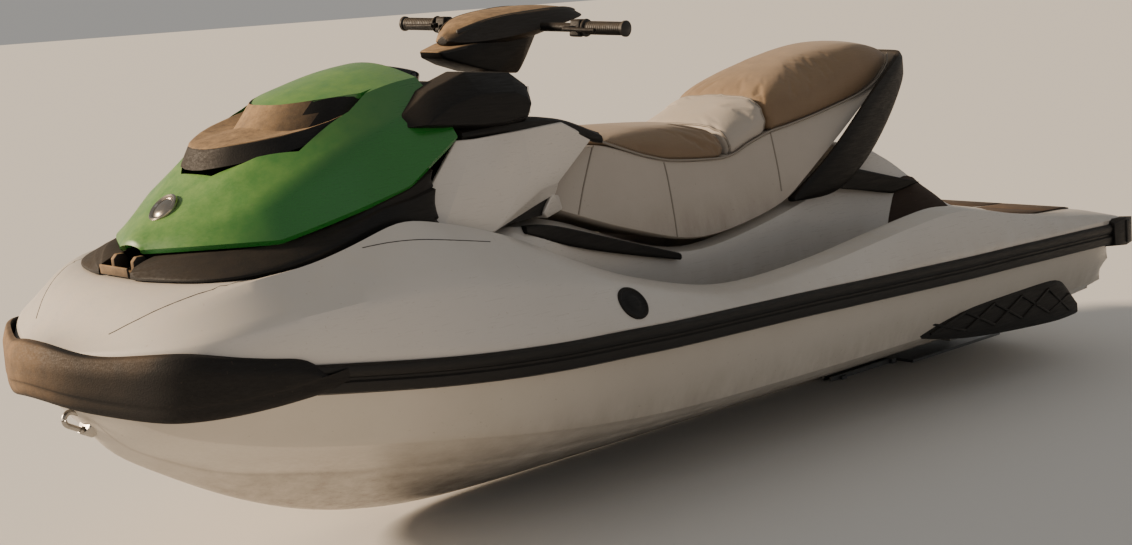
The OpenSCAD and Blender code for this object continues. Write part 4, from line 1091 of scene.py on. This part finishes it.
def buildPadStrips():
    # dark inlay that curves along each shoulder of the pad
    y0, z0 = steering["barY"], steering["barZ"]
    rings = []
    for y, a, b, low, high in padLines[1:-1]:
        outer, inner = mix((b, high), (a, low), 0.30), (b * 0.86, high)
        rings.append([(outer[0] + 2.5, y0 + y, z0 + outer[1] + 2.5),
                      (inner[0] + 1, y0 + y, z0 + inner[1] + 4.2), (inner[0], y0 + y, z0 + inner[1] - 6),
                      (outer[0] - 6, y0 + y, z0 + outer[1] - 4)])
    return turnSteering(bothSides(subdivide(loft("pad_strips", rings, endCrease=0.6), 2)))


place(buildPadStrips(), gripRubber, "handlebar", "pad_brown", sharp=40)


def buildBar():
    y, z, w = steering["barY"], steering["barZ"], steering["barWidth"] / 2 - 4
    return turnSteering(rod("handlebar_skin", w, (y, z), steering["barRadius"], 32))


place(buildBar(), blackMoulding, "handlebar", "trim_black", "handlebar", sharp=40)


def buildLever(side):
    y, z, root = steering["barY"], steering["barZ"], steering["barWidth"] / 2 - 125

    def at(spots):
        # spots are [in from the clamp, y from the bar, z from the bar]
        return [(side * (root + dx), y + dy, z + dz) for dx, dy, dz in spots]

    section = ((-20, -20), (-14, 20), (16, 20), (21, 8), (21, -18), (-6, -22))
    clamp = convex("clamp", [at([(dx, dy, dz) for dx in (-42, -9) for dy, dz in section])], width=5,
                   segments=4)
    arm = convex("arm", [at([(-38, -50, -7), (-26, -20, -7), (-38, -50, 6), (-26, -20, 6),
                             (-14, -48, -7), (-14, -48, 6), (-12, -24, -6), (-12, -24, 5)])], width=3)
    finger = sweep("finger", curved(at([(-32, -49, 0), (10, -49, -1), (40, -48, -2), (62, -46, -2)]), 4), 5,
                   12)
    return turnSteering(join(clamp, arm, finger))


for side, node in ((-1, "throttle_lever"), (1, "reverse_lever")):
    lever = outward(buildLever(side))
    lever.name = node + "_skin"
    place(lever, blackMoulding, "handlebar", "trim_black", node, sharp=30)

# grips: a turned core, with raised rings set along it by Geometry Nodes
gripShape = {"length": 125, "radius": 15.6, "ringRadius": 16.4, "ringThick": 1.5, "pitch": 6.0}


def setCopies(name, base, item, material, pitch=None, align="Z"):
    # copies of item along a curve at an even pitch, or with no pitch on each point, turned to its "facing"
    tree = bpy.data.node_groups.new(name + "Nodes", "GeometryNodeTree")
    tree.interface.new_socket("Geometry", in_out="OUTPUT", socket_type="NodeSocketGeometry")
    for label, kind in (("Geometry", "Geometry"), ("Item", "Object"), ("Pitch", "Float"),
                        ("Material", "Material")):
        tree.interface.new_socket(label, in_out="INPUT", socket_type="NodeSocket" + kind)
    source = addNode(tree, "NodeGroupInput").outputs
    if pitch:
        spots = addNode(tree, "GeometryNodeCurveToPoints", {"mode": "LENGTH"},
                        {"Curve": source["Geometry"], "Length": source["Pitch"]}).outputs
        points, direction = spots["Points"], spots["Tangent"]
    else:
        facing = addNode(tree, "GeometryNodeInputNamedAttribute",
                         {"data_type": "FLOAT_VECTOR", "Name": "facing"})
        points, direction = source["Geometry"], facing
    info = addNode(tree, "GeometryNodeObjectInfo", {"transform_space": "ORIGINAL"},
                   {"Object": source["Item"]})
    turn = addNode(tree, "FunctionNodeAlignRotationToVector", {"axis": align}, {"Vector": direction})
    copies = addNode(tree, "GeometryNodeInstanceOnPoints", None, {
        "Points": points, "Instance": info.outputs["Geometry"], "Rotation": turn})
    real = addNode(tree, "GeometryNodeRealizeInstances", None, {"Geometry": copies})
    coat = addNode(tree, "GeometryNodeSetMaterial", None, {"Geometry": real, "Material": source["Material"]})
    addNode(tree, "NodeGroupOutput", None, {"Geometry": coat})
    return runNodes(base, tree, {"Item": item, "Pitch": (pitch or 0) / 1000, "Material": material}, name,
                    item)


def runNodes(base, tree, values, name, spent):
    mod = base.modifiers.new("Nodes", "NODES")
    mod.node_group = tree
    for socket in tree.interface.items_tree:
        if socket.in_out == "INPUT" and socket.name in values:
            mod[socket.identifier] = values[socket.name]
    graph = bpy.context.evaluated_depsgraph_get()
    mesh = bpy.data.meshes.new_from_object(base.evaluated_get(graph))
    base.modifiers.clear()
    obj = bpy.data.objects.new(name, mesh)
    scene.collection.objects.link(obj)
    for old in (base, spent):
        bpy.data.objects.remove(old)
    return obj


def curveObject(name, lines):
    data = bpy.data.curves.new(name, "CURVE")
    data.dimensions = "3D"
    for points in lines:
        spline = data.splines.new("POLY")
        spline.points.add(len(points) - 1)
        for point, p in zip(spline.points, points):
            point.co = (p[0] / 1000, p[1] / 1000, p[2] / 1000, 1)
    obj = bpy.data.objects.new(name, data)
    scene.collection.objects.link(obj)
    return obj


def buildGrips(shape):
    y, z, end = steering["barY"], steering["barZ"], steering["barWidth"] / 2
    start = end - shape["length"]
    r = shape["radius"]
    long, thick, out = shape["length"], shape["ringThick"], shape["ringRadius"]
    profile = [(11.2, -4), (21, -4), (22, -2), (21, 1), (r, 3), (r, long - 12), (19, long - 9),
               (19.5, long - 3), (17, long - 1), (2, long)]
    core = disc("grips_skin", (start, y, z), (1, 0, 0), profile, 32)
    ring = disc("gripRing", (0, 0, 0), (0, 0, 1),
                [(r - 2, -thick), (out, -thick / 2), (out, thick / 2), (r - 2, thick)], 24)
    line = curveObject("gripLine", [[(start + 8, y, z), (end - 18, y, z)]])
    rings = setCopies("gripRings", line, ring, gripRubber, shape["pitch"])
    return turnSteering(bothSides(join(core, rings)))


place(buildGrips(gripShape), gripRubber, "handlebar", "grip_rubber", "grips", sharp=35)
print("steering ready")

# seat

# [y, bottom z, bottom x, seam z, seam x, crown z, crown x]
seatLines = [
    [-425, 712, 190, 745, 180, 745, 150], [-390, 694, 216, 800, 186, 800, 150],
    [-300, 660, 228, 832, 188, 832, 150], [-214, 628, 237, 842, 189, 850, 150],
    [-100, 596, 240, 800, 196, 861, 148], [0, 566, 240, 770, 200, 858, 146],
    [120, 552, 240, 756, 200, 851, 146], [262, 570, 240, 748, 196, 842, 148],
    [340, 584, 240, 776, 192, 868, 150], [440, 608, 240, 800, 190, 915, 152],
    [500, 646, 238, 806, 190, 948, 150], [620, 716, 232, 822, 186, 976, 146],
    [765, 798, 218, 846, 180, 1008, 140], [880, 852, 190, 868, 174, 1026, 134],
    [960, 896, 176, 896, 164, 1020, 124],
    [1040, 938, 150, 938, 140, 998, 104], [1088, 962, 110, 962, 104, 974, 78]]
seatShape = {"flank": 6, "voxel": 6, "pressure": 4, "frames": 20, "limit": 9, "welt": 3.2,
             "stitchPitch": 7,
             "heldBelow": -0.5, "heldEnds": 0.93, "padShrink": 4, "baseRows": 16}


def buildSeatBase(shape):
    rows = []
    for y, low, bx, sz, sx, cz, cx in seatLines[:shape["baseRows"]]:
        low = min(low, sz - 11)
        bx = max(bx, sx + 4)
        mid = ((bx + sx) / 2 + shape["flank"] - 3, (low + sz) / 2)
        rows.append([y, [(0, low), (bx - 14, low), (bx - 1, low + 4), mid, (sx + 1, sz - 10),
                         (sx - 2, sz - 1), (0, sz - 1)]])
    base = symmetric("seat_base_skin", rows, {1: 0.9, 2: 0.9, 4: 0.6, 5: 0.8}, endCrease=0.8)
    subdivide(base, 2)
    notch = rod("notch", 58, seatHinge, 22)
    cut(base, notch, block("notchFront", (-58, -460, 700), (58, -425, 790)))
    knuckle = rod("knuckle", 35, seatHinge, 10)
    leaf = block("leaf", (-35, -429, 730), (35, -402, 760))
    pin = rod("pin", 49, seatHinge, **hingePin)
    return join(base, knuckle, leaf, pin)


seatBase = place(buildSeatBase(seatShape), greyVinyl, "seat", "seat_grey", "seat_base", sharp=40)


def inflate(obj, shape):
    # fills the cover like air in a bag: the underside is held, the rest swells until its cloth is taut
    modify(obj, "REMESH", mode="VOXEL", voxel_size=shape["voxel"] / 1000, use_smooth_shade=True)
    bake(obj)
    with editing(obj) as bm:
        bm.normal_update()
        held = [v.index for v in bm.verts
                if v.normal.z < shape["heldBelow"] or abs(v.normal.y) > shape["heldEnds"]]
    before = [v.co.copy() for v in obj.data.vertices]
    group = obj.vertex_groups.new(name="held")
    group.add(held, 1.0, "REPLACE")
    cloth = obj.modifiers.new("Cloth", "CLOTH")
    settings = cloth.settings
    settings.quality = 4
    settings.mass = 0.25
    settings.tension_stiffness = settings.compression_stiffness = 22
    settings.shear_stiffness = 8
    settings.bending_stiffness = 1.5
    settings.vertex_group_mass = "held"
    settings.use_pressure = True
    settings.uniform_pressure_force = shape["pressure"]
    settings.effector_weights.gravity = 0
    cloth.collision_settings.use_collision = False
    cloth.point_cache.frame_start = 1
    cloth.point_cache.frame_end = shape["frames"]
    for frame in range(1, shape["frames"] + 1):
        scene.frame_set(frame)
    graph = bpy.context.evaluated_depsgraph_get()
    swollen = [v.co.copy() for v in obj.evaluated_get(graph).data.vertices]
    obj.modifiers.clear()
    scene.frame_set(1)
    limit = shape["limit"] / 1000
    for vert, old, new in zip(obj.data.vertices, before, swollen):
        move = new - old
        vert.co = old + move * min(1, limit / max(move.length, 1e-9))
    return obj


def buildCushion(name, first, last, shape):
    shrink = shape["padShrink"]
    rows = []
    for i in range(first, last + 1):
        y, low, bx, sz, sx, cz, cx = seatLines[i]
        y += 1.5 if i == first else -1.5 if i == last else 0
        c = max(cz, sz + 8) - shrink
        ends = 0.98 if i in (first, last) else 1
        s = sx - shrink
        rows.append([y, [(0, sz), (s, sz), (s + 1, sz + (c - sz) * 0.3),
                         ((s + cx + 16) / 2 * ends, sz + (c - sz) * 0.68 * ends),
                         ((cx - 6) * ends, sz + (c - sz) * 0.93 * ends), (0, sz + (c - sz) * ends)]])
    pad = symmetric(name, rows, {1: 0.85}, endCrease=0.4)
    return subdivide(inflate(subdivide(pad, 2), shape), 1)


cushions = {}
for name, node, first, last, material, slot in (("seat_front_skin", "seat_front_pad", 3, 7, tanVinyl,
                                                 "seat_tan"),
                                                ("seat_bolster_skin", "seat_bolster", 7, 9, greyVinyl,
                                                 "seat_grey"),
                                                ("seat_rear_skin", "seat_rear_pad", 9, 16, tanVinyl,
                                                 "seat_tan")):
    cushion = place(buildCushion(name, first, last, seatShape), material, "seat", slot, node, sharp=60)
    cushions[node] = cushion
    print(name, "filled")


def onSeat(t, height):
    # point on the side seam at row number t; height lifts it towards the crown
    i = min(int(t), len(seatLines) - 2)
    row = mix(tuple(seatLines[i]), tuple(seatLines[i + 1]), t - i)
    return row[4] + 1.5, row[0], row[3] + 2 + height


def sampled(t0, t1, height, steps=24):
    return [onSeat(t0 + (t1 - t0) * k / steps, height) for k in range(steps + 1)]


seam = sweep("seat_welt", curved(sampled(3.0, 16, 0), 2), seatShape["welt"], 10)
place(bothSides(seam), pipingVinyl, "seat", "seat_grey", sharp=60)


def crossSeam(row, lift):
    y, low, bx, sz, sx, cz, cx = seatLines[row]
    c = max(cz, sz + 8)
    half = [(sx + 1, y, sz + 2), (sx + 2, y, sz + (c - sz) * 0.32),
            ((sx + cx + 16) / 2, y, sz + (c - sz) * 0.7), (cx - 10, y, sz + (c - sz) * 0.95),
            (cx * 0.5, y, c + lift), (0, y, c + lift)]
    return half + [(-x, py, z) for x, py, z in half[-2::-1]]


def seamOn(points, surface, radius, lift):
    tree = BVHTree.FromObject(surface, bpy.context.evaluated_depsgraph_get())
    path = []
    for p in curved(points, 6):
        spot, normal, _, _ = tree.find_nearest(Vector(p) / 1000)
        path.append(tuple((spot + normal * lift / 1000) * 1000))
    return sweep("seam", path, radius, 8)


crossings = [seamOn(crossSeam(row, 1), cushions["seat_bolster"], seatShape["welt"], 0.3) for row in (7, 9)]
place(join(*crossings), pipingVinyl, "seat", "seat_grey", sharp=60).name = "seat_cross_welts"

# stitches beside the welts
stitch = across("stitch", -0.7, 0.7, [(y, z) for y in (-0.6, 0.6) for z in (-2.4, 2.4)], 0.4, 1)
seams = [sampled(3.2, 7, 7), sampled(7, 9, 7), sampled(9, 15.6, 7)]
stitchLines = curveObject("stitchLines",
                          [[(s * x, y, z) for x, y, z in line] for line in seams for s in (-1, 1)])
stitches = setCopies("seat_stitches", stitchLines, stitch, threadFinish, seatShape["stitchPitch"])
place(stitches, threadFinish, "seat", "seat_grey", sharp=60)

# sewn seams down the grey side panels
sideSeams = [[(202, 3, 767), (212, 4, 730), (222, 2, 680), (234, 0, 620), (240, -2, 574)],
             [(190, 440, 800), (204, 436, 760), (224, 430, 690), (238, 424, 640)],
             [(196, -232, 842), (214, -262, 800), (228, -300, 740), (236, -330, 680)]]


seams = [seamOn(line, seatBase, 2.4, 0.2) for line in sideSeams]
place(bothSides(join(*seams)), pipingVinyl, "seat", "seat_grey", sharp=60).name = "seat_side_seams"
print("seat ready")


def buildTrims():
    rows = [[-560, 668, 686, 284], [-480, 640, 680, 266], [-380, 606, 652, 256], [-200, 560, 594, 250],
            [0, 516, 534, 246]]
    rings = [[(x - 14, y, low), (x + 3, y, low), (x + 6, y, low + 4), (x + 5, y, high - 3), (x, y, high),
              (x - 14, y, high)] for y, low, high, x in rows]
    return bothSides(subdivide(loft("seat_trims_skin", rings, {0: 1, 1: 0.6, 2: 0.6, 3: 0.6, 4: 0.6, 5: 1},
                                    endCrease=0.9), 2))


place(buildTrims(), blackMoulding, "craft", "trim_black", "seat_trims", sharp=30)

# [inner x, inner y, outer x, outer y, lower z, upper z]
handleLines = [
    [214, 470, 240, 470, 602, 616], [228, 560, 254, 556, 600, 676], [238, 650, 264, 650, 604, 742],
    [224, 790, 250, 792, 668, 842], [194, 930, 222, 936, 764, 918],
    [159, 1044, 186, 1056, 862, 962], [114, 1116, 132, 1142, 902, 972], [52, 1152, 58, 1180, 916, 972],
    [0, 1160, 0, 1188, 920, 973]]


def buildHandle():
    rings = []
    for ix, iy, ox, oy, low, high in handleLines:
        inner, outer = Vector((ix, iy)), Vector((ox, oy))
        across = [inner.lerp(outer, t) for t in (0.0, 0.12, 0.8, 1.0, 0.94, 0.7, 0.2, 0.0)]
        tall = high - low
        heights = (low + 6 + tall * 0.06, low + 1, low + 1, low + tall * 0.22 + 2, high - tall * 0.2,
                   high - 1, high - 1, high - tall * 0.16)
        rings.append([(p.x, p.y, z) for p, z in zip(across, heights)])
    handle = loft("grab_handle_skin", rings, {3: 0.5, 4: 0.7, 5: 0.6}, endCrease=0.7)
    return bothSides(subdivide(handle, 2))


place(buildHandle(), blackMoulding, "craft", "trim_black", "grab_handle", sharp=35)


def buildInserts():
    outline = [(640, 622), (730, 669), (840, 640), (950, 606), (1064, 584), (930, 567)]
    inner = [(198, y, z) for y, z in outline] + [(230, y, z) for y, z in outline]
    outer = [(237, y * 0.94 + 50, (z - 605) * 0.86 + 605) for y, z in outline]
    plate = convex("rear_inserts_skin", [inner + outer], width=3)
    return bothSides(plate)


place(buildInserts(), blackMoulding, "craft", "trim_black", "rear_inserts", sharp=30)

# [y, low z, high z, out from the side]
sponsonLines = [[500, 248, 252, 4], [610, 226, 276, 22], [760, 196, 298, 34], [960, 176, 308, 38],
                [1180, 162, 308, 38], [1290, 156, 300, 38], [1392, 158, 196, 26]]
sponsonShape = {"side": 530, "barWidth": 9, "barLift": 4, "bays": (640, 790, 930, 1070, 1210, 1330)}


def sponsonAt(y):
    return [atY(sponsonLines, y, i) for i in (1, 2, 3)]


def buildSponsons(shape):
    rings = []
    for y, low, high, out in sponsonLines:
        x = shape["side"]
        rings.append([(x, y, low), (x + out * 0.7, y, low), (x + out, y, low + (high - low) * 0.16),
                      (x + out - 1, y, high - (high - low) * 0.2),
                      (x + out * 0.6, y, high - 1), (x, y, high)])
    body = subdivide(loft("sponsons_skin", rings, {0: 1, 1: 0.6, 2: 0.8, 3: 0.8, 4: 0.6, 5: 1},
                          endCrease=0.8), 2)
    bars = []
    for a, b in zip(shape["bays"], shape["bays"][1:]):
        la, ha, oa = sponsonAt(a)
        lb, hb, ob = sponsonAt(b)
        for ta, tb in ((0.24, 0.72), (0.72, 0.24)):
            za, zb = la + (ha - la) * ta, lb + (hb - lb) * tb
            along = Vector((b - a, zb - za)).normalized() * shape["barWidth"] / 2
            group = []
            for y, z, out in ((a, za, oa), (b, zb, ob)):
                for sign in (-1, 1):
                    group += [(shape["side"] + out - 5, y - sign * along.y, z + sign * along.x),
                              (shape["side"] + out + shape["barLift"] - 1, y - sign * along.y * 0.7,
                               z + sign * along.x * 0.7)]
            bars.append(convex("bar", [group], width=1.2))
    return bothSides(join(body, *bars))


place(buildSponsons(sponsonShape), blackMoulding, "craft", "trim_black", "sponsons", sharp=30)

# mats: panels with fine ribs laid across them

matShape = {"boardLift": 7, "boardThick": 6, "thick": 5, "ribPitch": 13, "ribWidth": 5, "ribHeight": 1.8}
footRows = [[-400, 236, 418, 310], [-126, 234, 438, 306], [440, 234, 440, 306], [640, 240, 434, 309]]
rearRows = [[1200, 396, 458], [1300, 398, 457], [1462, 398, 452], [1600, 390, 445], [1640, 380, 437]]


def ribbed(name, panels, ribs, bevel):
    # panels are slabs [top corner points]; ribs are [x0, x1, y0, y1, z at y0, z at y1]
    slabs = [convex("slab", [panel + [(x, y, z - matShape["thick"]) for x, y, z in panel]], bevel, 2)
             for panel in panels]
    half, high = matShape["ribWidth"] / 2, matShape["ribHeight"]
    rows = []
    for i, (x0, x1, y0, y1, z0, z1) in enumerate(ribs):
        rib = across("rib", x0, x1, ((-half, -1.5), (half, -1.5), (-1, high), (1, high)), 0.6, 1)
        spine = curveObject("spine", [[(0, y0, z0), (0, y1, z1)]])
        rows.append(setCopies(name + "Ribs%d" % i, spine, rib, deckFoam, matShape["ribPitch"], "Y"))
    return join(*slabs, *rows)


def buildFootMats():
    panels = [[(a[1], a[0], a[3]), (a[2], a[0], a[3]), (b[1], b[0], b[3]), (b[2], b[0], b[3])]
              for a, b in zip(footRows, footRows[1:])]
    ribs = [(250, 408, -380, -130, 309.6, 306), (246, 426, -122, 436, 306, 306),
            (250, 424, 446, 626, 306, 308.6)]
    return bothSides(ribbed("footwell", panels, ribs, 2))


footMats = buildFootMats()
footMats.name = "footwell_mats_skin"
place(footMats, deckFoam, "craft", "mat_brown", "footwell_mats", sharp=40)


def buildRearMat():
    # a middle panel and two side panels, with the white deck showing between them
    panels = []
    for a, b in zip(rearRows, rearRows[1:]):
        panels.append([(s * 150, y, z) for y, x1, z in (a, b) for s in (-1, 1)])
        for s in (-1, 1):
            panels.append([(s * x, y, z) for y, x1, z in (a, b) for x in (166, x1)])
    ribs = [(x0, x1, 1206, 1634, 458, 437.6) for x0, x1 in ((-142, 142), (174, 372), (-372, -174))]
    return ribbed("rear", panels, ribs, 1.5)


def buildBoardingMats():
    # a patch laid on the deck ahead of the rear mat, following its slope
    skin = BVHTree.FromObject(deckShell, bpy.context.evaluated_depsgraph_get())
    steps, across = 24, 12
    points = []
    for i in range(steps + 1):
        t = i / steps
        y = 880 + 304 * t
        x0, x1 = 236 - 80 * t, 408 - 8 * t
        for k in range(across + 1):
            x = x0 + (x1 - x0) * k / across
            spot = skin.ray_cast(Vector((x, y, 1200)) / 1000, Vector((0, 0, -1)))[0]
            points.append((x, y, spot.z * 1000 + matShape["boardLift"]))
    n = across + 1
    faces = [(i * n + k, i * n + k + 1, (i + 1) * n + k + 1, (i + 1) * n + k) for i in range(steps)
             for k in range(across)]
    patch = meshObject("boarding_mats", points, faces)
    return bothSides(bake(modify(patch, "SOLIDIFY", thickness=matShape["boardThick"] / 1000, offset=-1)))


place(buildBoardingMats(), deckFoam, "craft", "mat_brown", sharp=50)
rearMat = buildRearMat()
rearMat.name = "rear_deck_mat_skin"
place(rearMat, deckFoam, "craft", "mat_brown", "rear_deck_mat", sharp=40)
print("mats ready")

# small fittings

badgeSides = {"centre": (590, -506, 526), "lean": 78, "radius": 42}


def buildSideBadges(shape):
    lean = math.radians(shape["lean"])
    axis = Vector((math.sin(lean), 0, math.cos(lean)))
    skin = BVHTree.FromObject(deckShell, bpy.context.evaluated_depsgraph_get())
    spot, normal, _, _ = skin.ray_cast((Vector(shape["centre"]) + axis * 200) / 1000, -axis)
    centre, axis = tuple(spot * 1000), tuple(normal)
    r = shape["radius"]
    profile = [(4, -6), (r - 2, -6), (r, -3), (r, 2), (r - 2, 4.5), (r - 6, 5), (r - 8, 3), (r - 20, 2.4),
               (r - 24, 4.4), (r - 30, 5), (4, 5)]
    return bothSides(disc("side_badges_skin", centre, axis, profile))


place(buildSideBadges(badgeSides), blackMoulding, "craft", "trim_black", "side_badges", sharp=35)

bowEyeShape = {"foot": (0, -1556, 392), "lean": 62, "reach": 44, "rod": 6, "gap": 15}


def buildBowEye(shape):
    lean = math.radians(shape["lean"])
    up, along = Vector((0, -math.sin(lean), math.cos(lean))), Vector((0, math.cos(lean), math.sin(lean)))
    foot = Vector(shape["foot"])
    path = [foot + along * -shape["gap"] - up * 4]
    for k in range(13):
        a = math.pi * k / 12
        path.append(
            foot + up * (shape["reach"] + math.sin(a) * shape["gap"]) - along * math.cos(a) * shape["gap"])
    path.append(foot + along * shape["gap"] - up * 4)
    loop = sweep("bow_eye_skin", [tuple(p) for p in path], shape["rod"], 16)
    plate = disc("eyePlate", shape["foot"], tuple(up), [(2, -14), (24, -14), (24, 7), (21, 10), (2, 11)], 40)
    nuts = [disc("nut", tuple(foot + along * s * shape["gap"] + up * 10), tuple(up),
                 [(1, 0), (10, 0), (10, 5), (8.5, 6.5), (1, 6.5)], 6) for s in (-1, 1)]
    return join(loop, plate, *nuts)


place(buildBowEye(bowEyeShape), brushedSteel, "craft", "steel", "bow_eye", sharp=30)

# grooves where the deck mouldings meet, drawn as a fine dark bead on the skin: painted shade in place of the
# shade inside each groove
grooveLines = [[(150, -1545, 577), (250, -1440, 624), (310, -1378, 645), (350, -1303, 655)],
               [(352, -1228, 700), (396, -1080, 716), (420, -940, 712), (424, -780, 700)]]
grooves = [seamOn(line, deckShell, 1.4, -0.5) for line in grooveLines]
place(bothSides(join(*grooves)), gripRubber, "craft", "trim_black", sharp=60).name = "deck_grooves"

# screws: one head, set on every fixing point by Geometry Nodes

screwShape = {"radius": 6.5, "height": 3.2}
screwSpots = [((486, -1330, 520), (1, -0.35, 0.25)), ((480, -1352, 500), (1, -0.4, 0.1)),
              ((454, -1422, 492), (1, -0.5, 0))]


def buildScrews(shape, spots, material):
    r, h = shape["radius"], shape["height"]
    head = disc("screwHead", (0, 0, 0), (0, 0, 1),
                [(0.6, -2), (r, -2), (r, h * 0.4), (r * 0.8, h * 0.85), (r * 0.42, h), (r * 0.4, h * 0.35),
                 (0.6, h * 0.35)], 20)
    mesh = bpy.data.meshes.new("screwSpots")
    mesh.from_pydata([tuple(c / 1000 for c in p) for p, n in spots], [], [])
    facing = mesh.attributes.new("facing", "FLOAT_VECTOR", "POINT")
    for item, (p, n) in zip(facing.data, spots):
        item.vector = Vector(n).normalized()
    base = bpy.data.objects.new("screwSpots", mesh)
    scene.collection.objects.link(base)
    return setCopies("trim_screws", base, head, material)


def mirroredSpots(spots):
    return spots + [((-p[0], p[1], p[2]), (-n[0], n[1], n[2])) for p, n in spots]


place(buildScrews(screwShape, mirroredSpots(screwSpots), brushedSteel), brushedSteel, "craft", "steel",
      sharp=30)

# finishes for the pieces that keep their machined shape

for node, material in (("jet_pump", castAlloy), ("steering_nozzle", castAlloy), ("reverse_gate", castAlloy),
                       ("impeller", brushedSteel),
                       ("intake_grate", castAlloy), ("ride_plate", castAlloy), ("stern_eyes", brushedSteel),
                       ("drain_plugs", blackMoulding),
                       ("engine", enginePaint), ("mirror_glasses", mirrorGlass)):
    mesh = bpy.data.objects[node].data
    mesh.materials.clear()
    mesh.materials.append(material)
print("finishes set")
